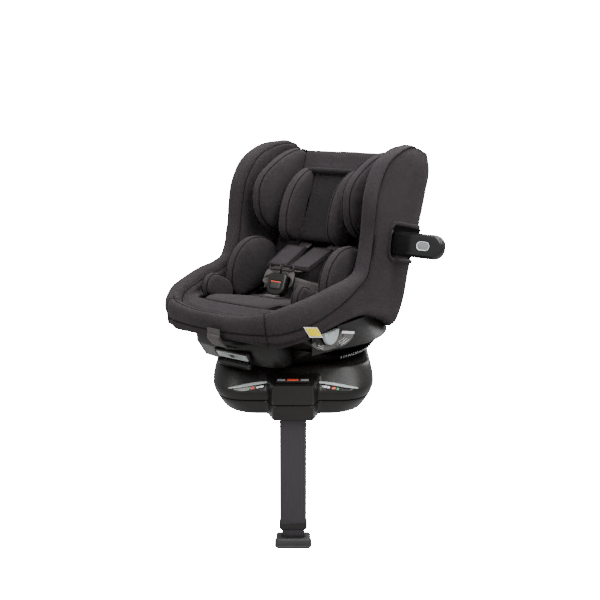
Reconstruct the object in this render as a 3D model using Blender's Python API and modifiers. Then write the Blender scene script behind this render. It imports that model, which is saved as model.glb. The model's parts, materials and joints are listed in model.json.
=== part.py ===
# Convertible child car seat on a swivelling base with a load leg.
# Metres, +Z up. The origin is the foot of the swivel axis on the base's
# underside, and -Y is the front of the base, where the load leg hangs.
import math

import bmesh
import bpy
from mathutils import Matrix, Vector

# ---------------------------------------------------------------- dimensions
GAP = 0.0004            # clearance between touching pieces
SEAT_YAW = -35.0        # turn of the seat on the base at rest, degrees

BASE_HALF = 0.190       # widest half width of the base
BASE_FOOT_HALF = 0.157  # half width at the underside
BASE_HALF_LONG = 0.232  # half length of the base
BASE_SEAM = 0.036       # height of the joint between the two base shells
BASE_TOP = 0.108        # top of the base's rim
WELL_RADIUS = 0.168     # round well that the carriage turns in
WELL_FLOOR = 0.070
HUB_HALF = 0.054        # raised housing of the load leg's hinge
HUB_FRONT = -0.268
HUB_TOP = 0.090

LEG_Y = -0.234          # middle plane of the load leg
LEG_PIVOT_Z = 0.034
LEG_UPPER = (0.062, 0.030)   # width and depth of the outer tube
LEG_LOWER = (0.053, 0.022)
LEG_UPPER_END = -0.278
FOOT_TOP = -0.300
FOOT_BOTTOM = -0.323

ISOFIX_X = 0.140        # half of the 280 mm between the anchorages
ISOFIX_Z = 0.026

CARRIAGE_RADIUS = 0.162
CARRIAGE_BOTTOM = 0.074
FLANGE_BOTTOM = 0.1115
FLANGE_HEIGHT = 0.040
FLANGE_LOW = 0.186
FLANGE_HIGH = 0.234
RECLINE_CENTRE = (0.0, 0.520)    # y, z of the recline arc's centre
RECLINE_RADIUS = 0.400

BACK_FOOT = (0.120, 0.245)       # y, z where the backrest's face starts
BACK_LEAN = 24.0                 # degrees behind the vertical
WALL = 0.042                     # thickness of the padded side wall
COVER_SKIN = 0.020               # thickness of the cover over pan and back

HANDLE_X = 0.012        # the handle and its strap sit just off the middle
STRAP_X = 0.026

POD_LENGTH = 0.140
POD_HEIGHT = 0.058
POD_DEPTH = 0.024
POD_LEAN = 12.0
POD_HINGE = (0.2125, 0.108, 0.371)

# ---------------------------------------------------------------- scene set-up
for old in list(bpy.data.objects):
    bpy.data.objects.remove(old, do_unlink=True)


def new_collection(name):
    group = bpy.data.collections.new(name)
    bpy.context.scene.collection.children.link(group)
    return group


PARTS = new_collection("convertible_car_seat")
CUTTERS = new_collection("cutters")


def material(name, colour, roughness, metallic=0.0):
    mat = bpy.data.materials.new(name)
    mat.use_nodes = True
    shader = mat.node_tree.nodes["Principled BSDF"]
    shader.inputs["Base Color"].default_value = (*colour, 1.0)
    shader.inputs["Roughness"].default_value = roughness
    shader.inputs["Metallic"].default_value = metallic
    mat.diffuse_color = (*colour, 1.0)
    return mat


FABRIC = material("charcoal_fabric", (0.040, 0.035, 0.038), 0.9)
PADDING = material("soft_padding", (0.055, 0.050, 0.053), 0.9)
WEBBING = material("webbing", (0.060, 0.047, 0.047), 0.8)
BLACK = material("black_plastic", (0.016, 0.014, 0.014), 0.4)
GLOSS = material("gloss_plastic", (0.010, 0.010, 0.010), 0.2)
SILVER = material("silver_plastic", (0.45, 0.48, 0.48), 0.35)
RED = material("red_plastic", (0.60, 0.05, 0.02), 0.4)
STEEL = material("steel", (0.55, 0.55, 0.55), 0.3, 1.0)
TUBE = material("leg_tube", (0.052, 0.046, 0.052), 0.35, 0.6)
RUBBER = material("rubber", (0.014, 0.013, 0.014), 0.7)


def empty(name, location, parent=None, rotation=(0.0, 0.0, 0.0)):
    node = bpy.data.objects.new(name, None)
    node.location = location
    node.rotation_euler = rotation
    node.parent = parent
    PARTS.objects.link(node)
    return node


# The seat and its carriage are drawn facing -Y and turned by this empty.
SWIVEL = empty("swivel_axis", (0.0, 0.0, 0.0), rotation=(0.0, 0.0, math.radians(SEAT_YAW)))


# ---------------------------------------------------------------- mesh helpers
def finish_mesh(name, bm, mat, parent=None, smooth=40.0):
    """Makes an object from a bmesh whose coordinates are in the parent's frame."""
    bmesh.ops.remove_doubles(bm, verts=bm.verts, dist=1e-6)
    bmesh.ops.recalc_face_normals(bm, faces=bm.faces)
    mesh = bpy.data.meshes.new(name)
    bm.to_mesh(mesh)
    bm.free()
    mesh.materials.append(mat)
    mesh.shade_smooth()
    mesh.set_sharp_from_angle(angle=math.radians(smooth))
    obj = bpy.data.objects.new(name, mesh)
    obj.parent = parent
    PARTS.objects.link(obj)
    return obj


def bevel(obj, width, segments=2):
    mod = obj.modifiers.new("Bevel", "BEVEL")
    mod.width = width
    mod.segments = segments
    mod.limit_method = "ANGLE"
    mod.angle_limit = math.radians(35.0)
    return obj


def box(name, size, centre, mat, parent=None, turn=None, round_edges=0.0, segments=2):
    """A rounded box; turn is a rotation matrix about its own centre."""
    bm = bmesh.new()
    bmesh.ops.create_cube(bm, size=1.0)
    place = Matrix.Translation(centre) @ (turn or Matrix()) @ Matrix.Diagonal((*size, 1.0))
    bmesh.ops.transform(bm, matrix=place, verts=bm.verts)
    obj = finish_mesh(name, bm, mat, parent)
    if round_edges:
        bevel(obj, round_edges, segments)
    return obj


def rod(name, radius, length, centre, axis, mat, parent=None, sides=24, round_edges=0.0, top=None):
    """A cylinder, or a cone when top gives a second radius, along axis."""
    bm = bmesh.new()
    bmesh.ops.create_cone(bm, cap_ends=True, segments=sides, radius1=radius,
                          radius2=radius if top is None else top, depth=length)
    turn = Vector((0.0, 0.0, 1.0)).rotation_difference(Vector(axis)).to_matrix().to_4x4()
    bmesh.ops.transform(bm, matrix=Matrix.Translation(centre) @ turn, verts=bm.verts)
    obj = finish_mesh(name, bm, mat, parent)
    if round_edges:
        bevel(obj, round_edges)
    return obj


def loft(name, rings, mat, parent=None, smooth=40.0):
    """Skins closed rings of equal length and caps both ends."""
    bm = bmesh.new()
    loops = [[bm.verts.new(p) for p in ring] for ring in rings]
    count = len(loops[0])
    for low, high in zip(loops, loops[1:]):
        for i in range(count):
            j = (i + 1) % count
            bm.faces.new((low[i], low[j], high[j], high[i]))
    ends = [bm.faces.new(list(reversed(loops[0]))), bm.faces.new(loops[-1])]
    bmesh.ops.triangulate(bm, faces=ends)
    return finish_mesh(name, bm, mat, parent, smooth)


def as_cutter(obj):
    obj.hide_render = True
    obj.display_type = "WIRE"
    PARTS.objects.unlink(obj)
    CUTTERS.objects.link(obj)
    return obj


def cut(obj, cutter, operation="DIFFERENCE"):
    mod = obj.modifiers.new("Cut", "BOOLEAN")
    mod.operation = operation
    mod.solver = "EXACT"
    mod.object = cutter
    return obj


def cut_box(obj, size, centre, parent=None, turn=None, operation="DIFFERENCE", round_edges=0.0):
    helper = box("cut", size, centre, BLACK, parent, turn, round_edges)
    return cut(obj, as_cutter(helper), operation)


def cut_rod(obj, radius, length, centre, axis, parent=None, sides=48, operation="DIFFERENCE"):
    helper = rod("cut", radius, length, centre, axis, BLACK, parent, sides)
    return cut(obj, as_cutter(helper), operation)


def rounded_rectangle(half_x, half_y, radius, z, steps=5, centre=(0.0, 0.0)):
    """Points of a rounded rectangle, counter-clockwise."""
    points = []
    for corner, (sx, sy) in enumerate([(1, 1), (-1, 1), (-1, -1), (1, -1)]):
        for k in range(steps + 1):
            a = math.radians(90.0 * (corner + k / steps))
            x = centre[0] + sx * (half_x - radius) + radius * math.cos(a)
            y = centre[1] + sy * (half_y - radius) + radius * math.sin(a)
            points.append((x, y, z))
    return points


def strip(name, path, half_width, thickness, mat, parent, x=0.0):
    """A flat strap along a y, z path; x may be a number or one for each point."""
    rings = []
    for k, (y, z) in enumerate(path):
        before = Vector(path[max(k - 1, 0)])
        after = Vector(path[min(k + 1, len(path) - 1)])
        run = (after - before).normalized()
        side = Vector((-run.y, run.x)) * thickness / 2
        middle = x[k] if isinstance(x, (list, tuple)) else x
        rings.append([
            (middle - half_width, y - side.x, z - side.y),
            (middle + half_width, y - side.x, z - side.y),
            (middle + half_width, y + side.x, z + side.y),
            (middle - half_width, y + side.x, z + side.y)])
    return loft(name, rings, mat, parent)


def back_point(up, out):
    """The y, z of a point up along the backrest's face and out in front of it."""
    lean = math.radians(BACK_LEAN)
    y = BACK_FOOT[0] + up * math.sin(lean) - out * math.cos(lean)
    z = BACK_FOOT[1] + up * math.cos(lean) + out * math.sin(lean)
    return y, z


BACK_TURN = Matrix.Rotation(-math.radians(BACK_LEAN), 4, "X")


def back_box(name, size, x, up, out, mat, round_edges=0.0, segments=2, parent=SWIVEL):
    """A box squared to the backrest: size is across, front to back, and along it."""
    return box(name, size, (x, *back_point(up, out)), mat, parent, BACK_TURN,
               round_edges, segments)


# ---------------------------------------------------------------- base
def base_ring(z, inset=0.0):
    """The base's outline at one height: widest a third of the way up."""
    profile = [(0.0, BASE_FOOT_HALF), (0.020, 0.172), (BASE_SEAM, 0.181), (0.060, BASE_HALF),
               (0.078, 0.1895), (0.095, 0.186), (BASE_TOP, 0.180)]
    for (z0, w0), (z1, w1) in zip(profile, profile[1:]):
        if z <= z1 + 1e-9:
            half = w0 + (w1 - w0) * (z - z0) / (z1 - z0)
            break
    front_fall = max(0.0, z - 0.060) * 0.95
    long_half = BASE_HALF_LONG - 0.012 * (1.0 - min(z, 0.03) / 0.03)
    points = rounded_rectangle(half - inset, long_half - inset, 0.075, z, steps=6)
    return [(x, y + front_fall * max(0.0, -y / long_half), z) for x, y, z in points]


def hub_box(name, low, high, inset=0.0):
    return box(name, (2 * (HUB_HALF - inset), 0.10, high - low),
               (0.0, HUB_FRONT + inset + 0.05, (low + high) / 2), BLACK, None, None,
               0.010 if inset == 0.0 else 0.0, 3)


def build_base():
    lower = loft("base_lower_shell", [base_ring(z) for z in (0.0, 0.004, 0.020, BASE_SEAM)], BLACK)
    cut(lower, as_cutter(hub_box("hub_low", 0.0, BASE_SEAM)), "UNION")
    inside = loft("cut", [base_ring(z, 0.006) for z in (0.006, 0.020, BASE_SEAM)], BLACK)
    cut(lower, as_cutter(inside))
    cut_box(lower, (0.096, 0.050, 0.05), (0.0, HUB_FRONT + 0.008 + 0.025, BASE_SEAM))
    cut_box(lower, (0.072, 0.320, 0.10), (0.0, -0.256 + 0.160, 0.0))
    cut_box(lower, (0.100, 0.170, 0.10), (0.0, 0.150 - 0.085, 0.0))

    heights = (BASE_SEAM + GAP, 0.050, 0.060, 0.078, 0.095, 0.103, BASE_TOP)
    rings = [base_ring(z, 0.004 if z > 0.105 else 0.0) for z in heights]
    upper = loft("base_upper_shell", rings, BLACK)
    cut(upper, as_cutter(hub_box("hub_high", BASE_SEAM + GAP, HUB_TOP)), "UNION")
    cut_rod(upper, WELL_RADIUS, 0.10, (0.0, 0.0, WELL_FLOOR + 0.05), (0, 0, 1))
    hollow = loft("cut", [base_ring(z, 0.006) for z in (0.030, 0.050, 0.060, 0.0655)], BLACK)
    cut(upper, as_cutter(hollow))
    cut_box(upper, (0.096, 0.080, 0.06), (0.0, HUB_FRONT + 0.007 + 0.040, 0.0655 - 0.030))

    for side, label in ((1, "left"), (-1, "right")):
        for shell in (lower, upper):
            cut_box(shell, (0.034, 0.120, 0.030),
                    (side * ISOFIX_X, BASE_HALF_LONG - 0.03, ISOFIX_Z + 0.002))
        sweep = [k / 8 for k in range(9)]
        path = [(side * (0.056 + 0.086 * t), 0.0735 - 0.011 * t ** 1.5) for t in sweep]
        crescent(f"crescent_trim_{label}", path, side)


def front_face(x, z):
    """The y of the base's front at a place on it."""
    corner = max(0.0, abs(x) - (BASE_HALF - 0.075))
    y = -BASE_HALF_LONG + 0.075 - math.sqrt(max(0.0, 0.075 ** 2 - corner ** 2))
    return y + max(0.0, z - 0.060) * 0.95 * (-y / BASE_HALF_LONG)


def crescent(name, path, side):
    """The slim silver strip that rises towards the hub on the base's front."""
    rings = []
    last = len(path) - 1
    for k, (x, z) in enumerate(path):
        half = 0.0012 + 0.0022 * math.sin(math.pi * min(1.0, (k + 1) / last))
        low = front_face(x, z - half) - 0.0012
        high = front_face(x, z + half) - 0.0012
        rings.append([(x, low - 0.0028, z - half), (x, low, z - half),
                      (x, high, z + half), (x, high - 0.0028, z + half)])
    if side < 0:
        rings.reverse()
    return loft(name, rings, SILVER)


def build_base_details():
    ring = rod("turntable_ring", 0.160, 0.0028, (0.0, 0.0, WELL_FLOOR + 0.0019), (0, 0, 1), STEEL,
               sides=48)
    cut_rod(ring, 0.120, 0.02, (0.0, 0.0, WELL_FLOOR), (0, 0, 1))
    box("leg_indicator", (0.076, 0.012, 0.003), (0.0, HUB_FRONT + 0.017, HUB_TOP + 0.0020), RED,
        round_edges=0.001)


# ---------------------------------------------------------------- load leg
def build_leg():
    """Outer tube on a cross pin in the hub, inner tube, foot and height button."""
    rod("leg_pivot_pin", 0.006, 0.090, (0.0, LEG_Y, LEG_PIVOT_Z), (1, 0, 0), STEEL, sides=20)
    top = LEG_PIVOT_Z + 0.018
    length = top - LEG_UPPER_END
    upper = box("leg_outer_tube", (*LEG_UPPER, length), (0.0, LEG_Y, top - length / 2), TUBE,
                round_edges=0.006, segments=3)
    cut_box(upper, (LEG_LOWER[0] + 0.001, LEG_LOWER[1] + 0.001, length),
            (0.0, LEG_Y, top - length / 2 - 0.040))
    cut_rod(upper, 0.0064, 0.20, (0.0, LEG_Y, LEG_PIVOT_Z), (1, 0, 0), sides=20)
    cut_rod(upper, 0.0094, 0.030, (0.0, LEG_Y + 0.015, LEG_UPPER_END + 0.035), (0, 1, 0), sides=24)
    rod("leg_height_button", 0.009, 0.0056, (0.0, LEG_Y + 0.0153, LEG_UPPER_END + 0.035),
        (0, 1, 0), SILVER, sides=20, round_edges=0.001)
    inner_top = -0.020
    length = inner_top - FOOT_TOP + 0.010
    box("leg_inner_tube", (*LEG_LOWER, length), (0.0, LEG_Y, inner_top - length / 2), TUBE,
        round_edges=0.004)
    rings = [rounded_rectangle(half, deep, 0.010, z, centre=(0.0, LEG_Y))
             for half, deep, z in ((0.039, 0.020, FOOT_TOP), (0.041, 0.022, FOOT_TOP - 0.004),
                                   (0.0415, 0.0225, FOOT_BOTTOM + 0.008),
                                   (0.044, 0.024, FOOT_BOTTOM + 0.005),
                                   (0.044, 0.024, FOOT_BOTTOM + 0.003))]
    foot = loft("leg_foot", rings, RUBBER)
    cut_box(foot, (LEG_LOWER[0] + 0.0008, LEG_LOWER[1] + 0.0008, 0.040),
            (0.0, LEG_Y, FOOT_TOP + 0.0096))
    sole = [rounded_rectangle(0.0425, 0.0225, 0.010, z, centre=(0.0, LEG_Y))
            for z in (FOOT_BOTTOM + 0.003 - GAP, FOOT_BOTTOM)]
    loft("leg_foot_sole", sole, RUBBER)


# ---------------------------------------------------------------- ISOFIX
def build_isofix():
    for side, label in ((1, "left"), (-1, "right")):
        x = side * ISOFIX_X
        box(f"isofix_arm_{label}", (0.028, 0.215, 0.024), (x, 0.1395, ISOFIX_Z), STEEL,
            round_edges=0.002)
        y = 0.2475
        shell = box(f"isofix_connector_{label}", (0.038, 0.078, 0.038), (x, y + 0.039, ISOFIX_Z),
                    BLACK, round_edges=0.005)
        cut_box(shell, (0.020, 0.050, 0.016), (x, y + 0.078, ISOFIX_Z))
        cut_box(shell, (0.0105, 0.030, 0.030), (x, y + 0.078 - 0.020, ISOFIX_Z + 0.010))
        cut_box(shell, (0.017, 0.027, 0.0060), (x, y + 0.022, ISOFIX_Z + 0.0185))
        box(f"isofix_hook_{label}", (0.009, 0.022, 0.007), (x, y + 0.0580, ISOFIX_Z + 0.0130),
            STEEL, round_edges=0.001)
        box(f"isofix_release_{label}", (0.016, 0.018, 0.0046), (x, y + 0.0190, ISOFIX_Z + 0.0182),
            RED, round_edges=0.001)
    box("isofix_crossbar", (0.2515, 0.015, 0.020), (0.0, 0.1475, ISOFIX_Z), STEEL)


# ---------------------------------------------------------------- carriage
def build_carriage():
    """A turntable drum with a bowl-shaped flange over the base's rim and a saddle top."""
    drum_top = BASE_TOP + 0.010
    saddle = rod("swivel_carriage", CARRIAGE_RADIUS, drum_top - CARRIAGE_BOTTOM,
                 (0.0, 0.0, (drum_top + CARRIAGE_BOTTOM) / 2), (0, 0, 1), BLACK, SWIVEL, sides=64)
    flange = rod("cut", FLANGE_LOW, FLANGE_HEIGHT, (0.0, 0.0, FLANGE_BOTTOM + FLANGE_HEIGHT / 2),
                 (0, 0, 1), BLACK, SWIVEL, 64, top=FLANGE_HIGH)
    cut(saddle, as_cutter(flange), "UNION")
    cut_rod(saddle, RECLINE_RADIUS + 0.0015, 0.60, (0.0, *RECLINE_CENTRE), (1, 0, 0), SWIVEL, 96)
    cut_box(saddle, (0.60, 0.20, 0.20), (0.0, -0.1655 - 0.10, 0.15), SWIVEL)
    cut_rod(saddle, 0.147, 0.05, (0.0, 0.0, CARRIAGE_BOTTOM + 0.009 - 0.025), (0, 0, 1), SWIVEL)
    rod("swivel_spindle", 0.0400, 0.0125, (0.0, 0.0, CARRIAGE_BOTTOM + 0.00225), (0, 0, 1), STEEL,
        SWIVEL, sides=32)


# ---------------------------------------------------------------- cover and shell
# Stations along the seat from the front lip over the pan and up the backrest.
# Each gives y, z of the hem, the rim of the side wall and the inner face, and the half width.
def cover_stations():
    def on_back(up):
        return back_point(up, 0.0)
    return [
        ((-0.318, 0.192), (-0.335, 0.248), (-0.331, 0.244), 0.088),
        ((-0.306, 0.184), (-0.325, 0.261), (-0.319, 0.256), 0.130),
        ((-0.283, 0.181), (-0.294, 0.269), (-0.288, 0.260), 0.164),
        ((-0.245, 0.190), (-0.250, 0.278), (-0.245, 0.255), 0.191),
        ((-0.170, 0.207), (-0.182, 0.291), (-0.170, 0.236), 0.210),
        ((-0.080, 0.218), (-0.115, 0.301), (-0.080, 0.216), 0.219),
        ((-0.010, 0.214), (-0.062, 0.308), (-0.010, 0.207), 0.221),
        ((0.060, 0.190), (-0.022, 0.322), (0.055, 0.210), 0.222),
        ((0.122, 0.163), (-0.004, 0.357), (0.098, 0.222), 0.222),
        ((0.166, 0.200), (0.006, 0.402), on_back(0.030), 0.222),
        ((0.204, 0.300), (0.012, 0.452), on_back(0.110), 0.222),
        ((0.247, 0.388), (0.024, 0.505), on_back(0.190), 0.221),
        ((0.282, 0.468), (0.066, 0.562), on_back(0.265), 0.219),
        ((0.304, 0.532), (0.148, 0.595), on_back(0.315), 0.216),
        ((0.300, 0.572), (0.222, 0.600), on_back(0.345), 0.208),
    ]


def h_ring(hem, rim, floor, half, closed):
    """One H-shaped section: two padded walls and the skin between them."""
    hem = Vector(hem)
    rim = Vector(rim)
    floor = Vector(floor)
    up = (rim - hem).normalized()
    reach = (rim - hem).length
    rise = (floor - hem).dot(up)
    under = 0.001 if closed else max(rise - COVER_SKIN, -0.020)

    def at(x, along, pull=0.0):
        point = hem + up * along
        offset = floor - (hem + up * rise)
        point = point + offset * pull
        return (x, point.x, point.y)

    inner = half - WALL
    lower_half = half - (0.034 if closed else 0.012)
    knee = min(rise + 0.012, reach - 0.001)
    right = [at(lower_half, 0.0), at(half - 0.004, reach * 0.30), at(half, reach * 0.65),
             at(half - 0.004, reach - 0.010), at(half - 0.014, reach - 0.001),
             at(inner + 0.012, reach), at(inner, reach - 0.008),
             at(inner - 0.002, max(knee, reach * 0.5), 0.6), at(inner - 0.012, rise + 0.004, 1.0),
             at(inner * 0.5, rise, 1.0)]
    left = [(-x, y, z) for x, y, z in reversed(right)]
    below = [at(-(lower_half - 0.006), 0.0), at(-(lower_half - 0.008), under, 0.7),
             at(-inner * 0.5, under, 1.0), at(inner * 0.5, under, 1.0),
             at(lower_half - 0.008, under, 0.7), at(lower_half - 0.006, 0.0)]
    return right + left + below


def build_cover():
    stations = cover_stations()
    rings = [h_ring(*station, k < 2) for k, station in enumerate(stations)]
    cover = loft("seat_cover", rings, FABRIC, SWIVEL, smooth=60.0)
    for side in (1, -1):
        # The pod's recess is open at the wing's rear edge.
        turn = Matrix.Rotation(-math.radians(POD_LEAN), 4, "X")
        lean = math.radians(POD_LEAN)
        ahead = POD_LENGTH / 2 + 0.040
        y = POD_HINGE[1] + ahead * math.cos(lean)
        z = POD_HINGE[2] - ahead * math.sin(lean)
        cut_box(cover, (2 * (0.2225 - 0.190), POD_LENGTH + 0.110, POD_HEIGHT + 0.016),
                (side * 0.2225, y, z), SWIVEL, turn, round_edges=0.012)
    return cover


def shell_ring(hem, rim, floor, half, limit):
    """A U-shaped section under the cover, 5 mm thick and open upward."""
    hem = Vector(hem)
    floor = Vector(floor)
    up = (Vector(rim) - hem).normalized()
    rise = (floor - hem).dot(up)
    top = max(rise - COVER_SKIN, -0.020) - 0.002
    start = hem - Vector(RECLINE_CENTRE)
    dot = start.dot(up)
    drop = dot + math.sqrt(max(dot * dot - start.length_squared + RECLINE_RADIUS ** 2, 0.0))
    drop = min(drop, limit)
    wall = 0.005
    side = half - 0.024
    offset = floor - (hem + up * rise)

    def at(x, along, pull=0.0):
        point = hem + up * along + offset * pull
        return (x, point.x, point.y)

    shoulder = top - 0.35 * (top + drop)
    belly = 0.30 * shoulder - 0.70 * drop
    outer = [at(side, top, 0.7), at(side - 0.001, shoulder), at(side - 0.014, belly),
             at(side - 0.040, -0.94 * drop), at(side * 0.45, -drop)]
    inner = [at(side * 0.45, -drop + wall), at(side - 0.042, -0.94 * drop + wall),
             at(side - 0.014 - wall, belly + 0.5 * wall),
             at(side - 0.001 - wall, shoulder), at(side - wall, top, 0.7)]
    mirrored = [(-x, y, z) for x, y, z in reversed(outer)]
    mirrored_inner = [(-x, y, z) for x, y, z in reversed(inner)]
    return outer + mirrored + mirrored_inner + inner


def build_seat_shell():
    rings = []
    for k, (hem, rim, floor, half) in enumerate(cover_stations()):
        if k >= 3:
            limit = 0.2 if k < 10 else 0.028
            rings.append(shell_ring(hem, rim, floor, half, limit))
    return loft("seat_shell", rings, BLACK, SWIVEL, smooth=50.0)


FAIRING = [(-0.170, 0.1550), (-0.190, 0.1655), (-0.209, 0.1765), (-0.266, 0.1765),
           (-0.2635, 0.152), (-0.236, 0.1155), (-0.170, 0.1155)]
FACE_TOP = Vector(FAIRING[4])
FACE_RUN = (Vector(FAIRING[5]) - FACE_TOP).normalized()
FACE_OUT = Vector((FACE_RUN.y, -FACE_RUN.x))


def face_point(down, out):
    """The y, z of a point on the fairing's sloping face."""
    return tuple(FACE_TOP + FACE_RUN * down + FACE_OUT * out)


def build_front():
    rings = []
    for x in (-0.118, -0.100, 0.0, 0.100, 0.118):
        pull = 0.030 * (abs(x) / 0.118) ** 4
        rings.append([(x, y + pull if y < -0.23 else y, z) for y, z in FAIRING])
    loft("front_fairing", rings, BLACK, SWIVEL)
    tilt = Matrix.Rotation(math.atan2(-FACE_OUT.y, -FACE_OUT.x), 4, "X")
    plate = box("handle_plate", (0.088, 0.004, 0.020), (HANDLE_X, *face_point(0.012, 0.0028)), SILVER,
                SWIVEL, tilt, 0.0015)
    cut_box(plate, (0.0145, 0.02, 0.0085), (HANDLE_X, *face_point(0.012, 0.0028)), SWIVEL, tilt)
    box("harness_adjuster_button", (0.0130, 0.0060, 0.0070), (HANDLE_X, *face_point(0.012, 0.0040)),
        GLOSS, SWIVEL, tilt, 0.0015)
    box("recline_handle", (0.096, 0.014, 0.016), (HANDLE_X, *face_point(0.0335, 0.0085)), BLACK,
        SWIVEL, tilt, 0.004)


def ribbon(name, points, sides, half_width, thickness, mat, parent=SWIVEL):
    """A flat strap through points; sides are the across directions, one or one each."""
    rings = []
    points = [Vector(p) for p in points]
    for k, point in enumerate(points):
        across = Vector(sides[k] if isinstance(sides, list) else sides).normalized()
        run = (points[min(k + 1, len(points) - 1)] - points[max(k - 1, 0)]).normalized()
        normal = across.cross(run).normalized() * thickness / 2
        across = across * half_width
        rings.append([point - across - normal, point + across - normal,
                      point + across + normal, point - across + normal])
    return loft(name, rings, mat, parent)


def build_cover_details():
    route = [(STRAP_X, -0.3395, 0.222), (STRAP_X, -0.3325, 0.200), (STRAP_X, -0.3230, 0.1830),
             (STRAP_X, -0.305, 0.1740), (STRAP_X, -0.270, 0.166)]
    ribbon("adjuster_strap", route, (1, 0, 0), 0.018, 0.0020, WEBBING)
    for side, label in ((1, "left"), (-1, "right")):
        ribbon(f"elastic_loop_{label}",
               [(side * 0.2245, 0.020, 0.402), (side * 0.2265, 0.012, 0.373),
                (side * 0.2245, 0.006, 0.345)], (0, 1, 0), 0.0035, 0.0015, WEBBING)
        disc = rod(f"rotation_button_{label}", 0.030, 0.008, (side * 0.2005, -0.136, 0.1990), (1, 0, 0),
                   SILVER, SWIVEL, sides=32, round_edges=0.0015)
        # Its top is flat, just under the edge of the cover.
        cut_box(disc, (0.040, 0.080, 0.060), (side * 0.2005, -0.136, 0.2315), SWIVEL)


# ---------------------------------------------------------------- inner padding
def c_section(half, inner, back, back_front, lobe_out, up, taper=0.0):
    """A C-shaped section across the backrest: a back pad with a lobe at each side."""
    def at(x, out):
        return (x, *back_point(up, out))
    half = half - taper
    lobe = lobe_out - 2.0 * taper
    right = [at(half - 0.012, back), at(half, back + 0.014), at(half, lobe * 0.75),
             at(half - 0.012, lobe), at(inner + 0.014, lobe), at(inner, lobe * 0.80),
             at(inner - 0.004, back_front + 0.012), at(inner - 0.018, back_front)]
    left = [(-x, y, z) for x, y, z in reversed(right)]
    return right + left


def build_headrest():
    back_box("headrest_shell", (0.290, 0.010, 0.195), 0.0, 0.2380, 0.0085, BLACK, 0.004)
    # Height up the backrest, how far the lobes reach out, and how much the ends draw in.
    rings = []
    for up, reach, taper in ((0.100, 0.130, 0.012), (0.114, 0.158, 0.004), (0.150, 0.184, 0.0),
                             (0.195, 0.192, 0.0), (0.250, 0.168, 0.0), (0.300, 0.130, 0.002),
                             (0.336, 0.104, 0.006), (0.350, 0.096, 0.010)):
        rings.append(c_section(0.158, 0.112, 0.0155, 0.040, reach, up, taper))
    loft("headrest_pad", rings, PADDING, SWIVEL, smooth=60.0)
    rings = []
    for up, reach, taper in ((0.080, 0.120, 0.008), (0.096, 0.132, 0.002), (0.130, 0.144, 0.0),
                             (0.190, 0.148, 0.0), (0.240, 0.134, 0.0), (0.276, 0.118, 0.001),
                             (0.290, 0.110, 0.004)):
        rings.append(c_section(0.101, 0.056, 0.0500, 0.064, reach, up, taper))
    loft("head_pillow", rings, PADDING, SWIVEL, smooth=60.0)
    back_box("headrest_lever", (0.060, 0.010, 0.018), 0.0, 0.3465, 0.0085, BLACK, 0.003)


# Side view of a body bolster: height up the backrest and distance out in front of it.
BOLSTER = [(-0.093, 0.182), (-0.052, 0.207), (-0.010, 0.212), (0.034, 0.197), (0.066, 0.165),
           (0.084, 0.120), (0.086, 0.075), (0.074, 0.042), (0.040, 0.028), (-0.005, 0.032),
           (-0.044, 0.066)]
BOLSTER_MIDDLE = (0.0, 0.120)


def build_bolster(side, label):
    """A thick cushion across the seat, drawn in towards its two faces."""
    rings = []
    for x, scale in ((0.118, 0.86), (0.125, 1.0), (0.155, 1.0), (0.162, 0.86)):
        ring = []
        for up, out in BOLSTER:
            y, z = back_point(BOLSTER_MIDDLE[0] + (up - BOLSTER_MIDDLE[0]) * scale,
                              BOLSTER_MIDDLE[1] + (out - BOLSTER_MIDDLE[1]) * scale)
            ring.append((side * x, y, z))
        rings.append(ring)
    loft(f"body_bolster_{label}", rings, PADDING, SWIVEL, smooth=60.0)


def build_insert():
    path = [(-0.232, 0.2622), (-0.203, 0.2562), (-0.165, 0.2465), (-0.080, 0.2280), (-0.010, 0.2190),
            (0.040, 0.2210), (0.074, 0.2360), back_point(0.030, 0.0140), back_point(0.093, 0.0140)]
    strip("seat_insert", path, 0.105, 0.015, PADDING, SWIVEL)
    for side, label in ((1, "left"), (-1, "right")):
        build_bolster(side, label)
        box(f"leg_bolster_{label}", (0.034, 0.088, 0.060), (side * 0.132, -0.142, 0.2690), PADDING,
            SWIVEL, Matrix.Rotation(math.radians(-12.0), 4, "X"), 0.012, 3)


# ---------------------------------------------------------------- harness
BUCKLE_TURN = Matrix.Rotation(math.radians(-24.0), 4, "X")


def buckle_point(across, up, out):
    """A point of the seat's frame, up along the buckle and out from its face."""
    point = BUCKLE_TURN @ Vector((across, -out, up))
    return (point.x, -0.066 + point.y, 0.2705 + point.z)


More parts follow.
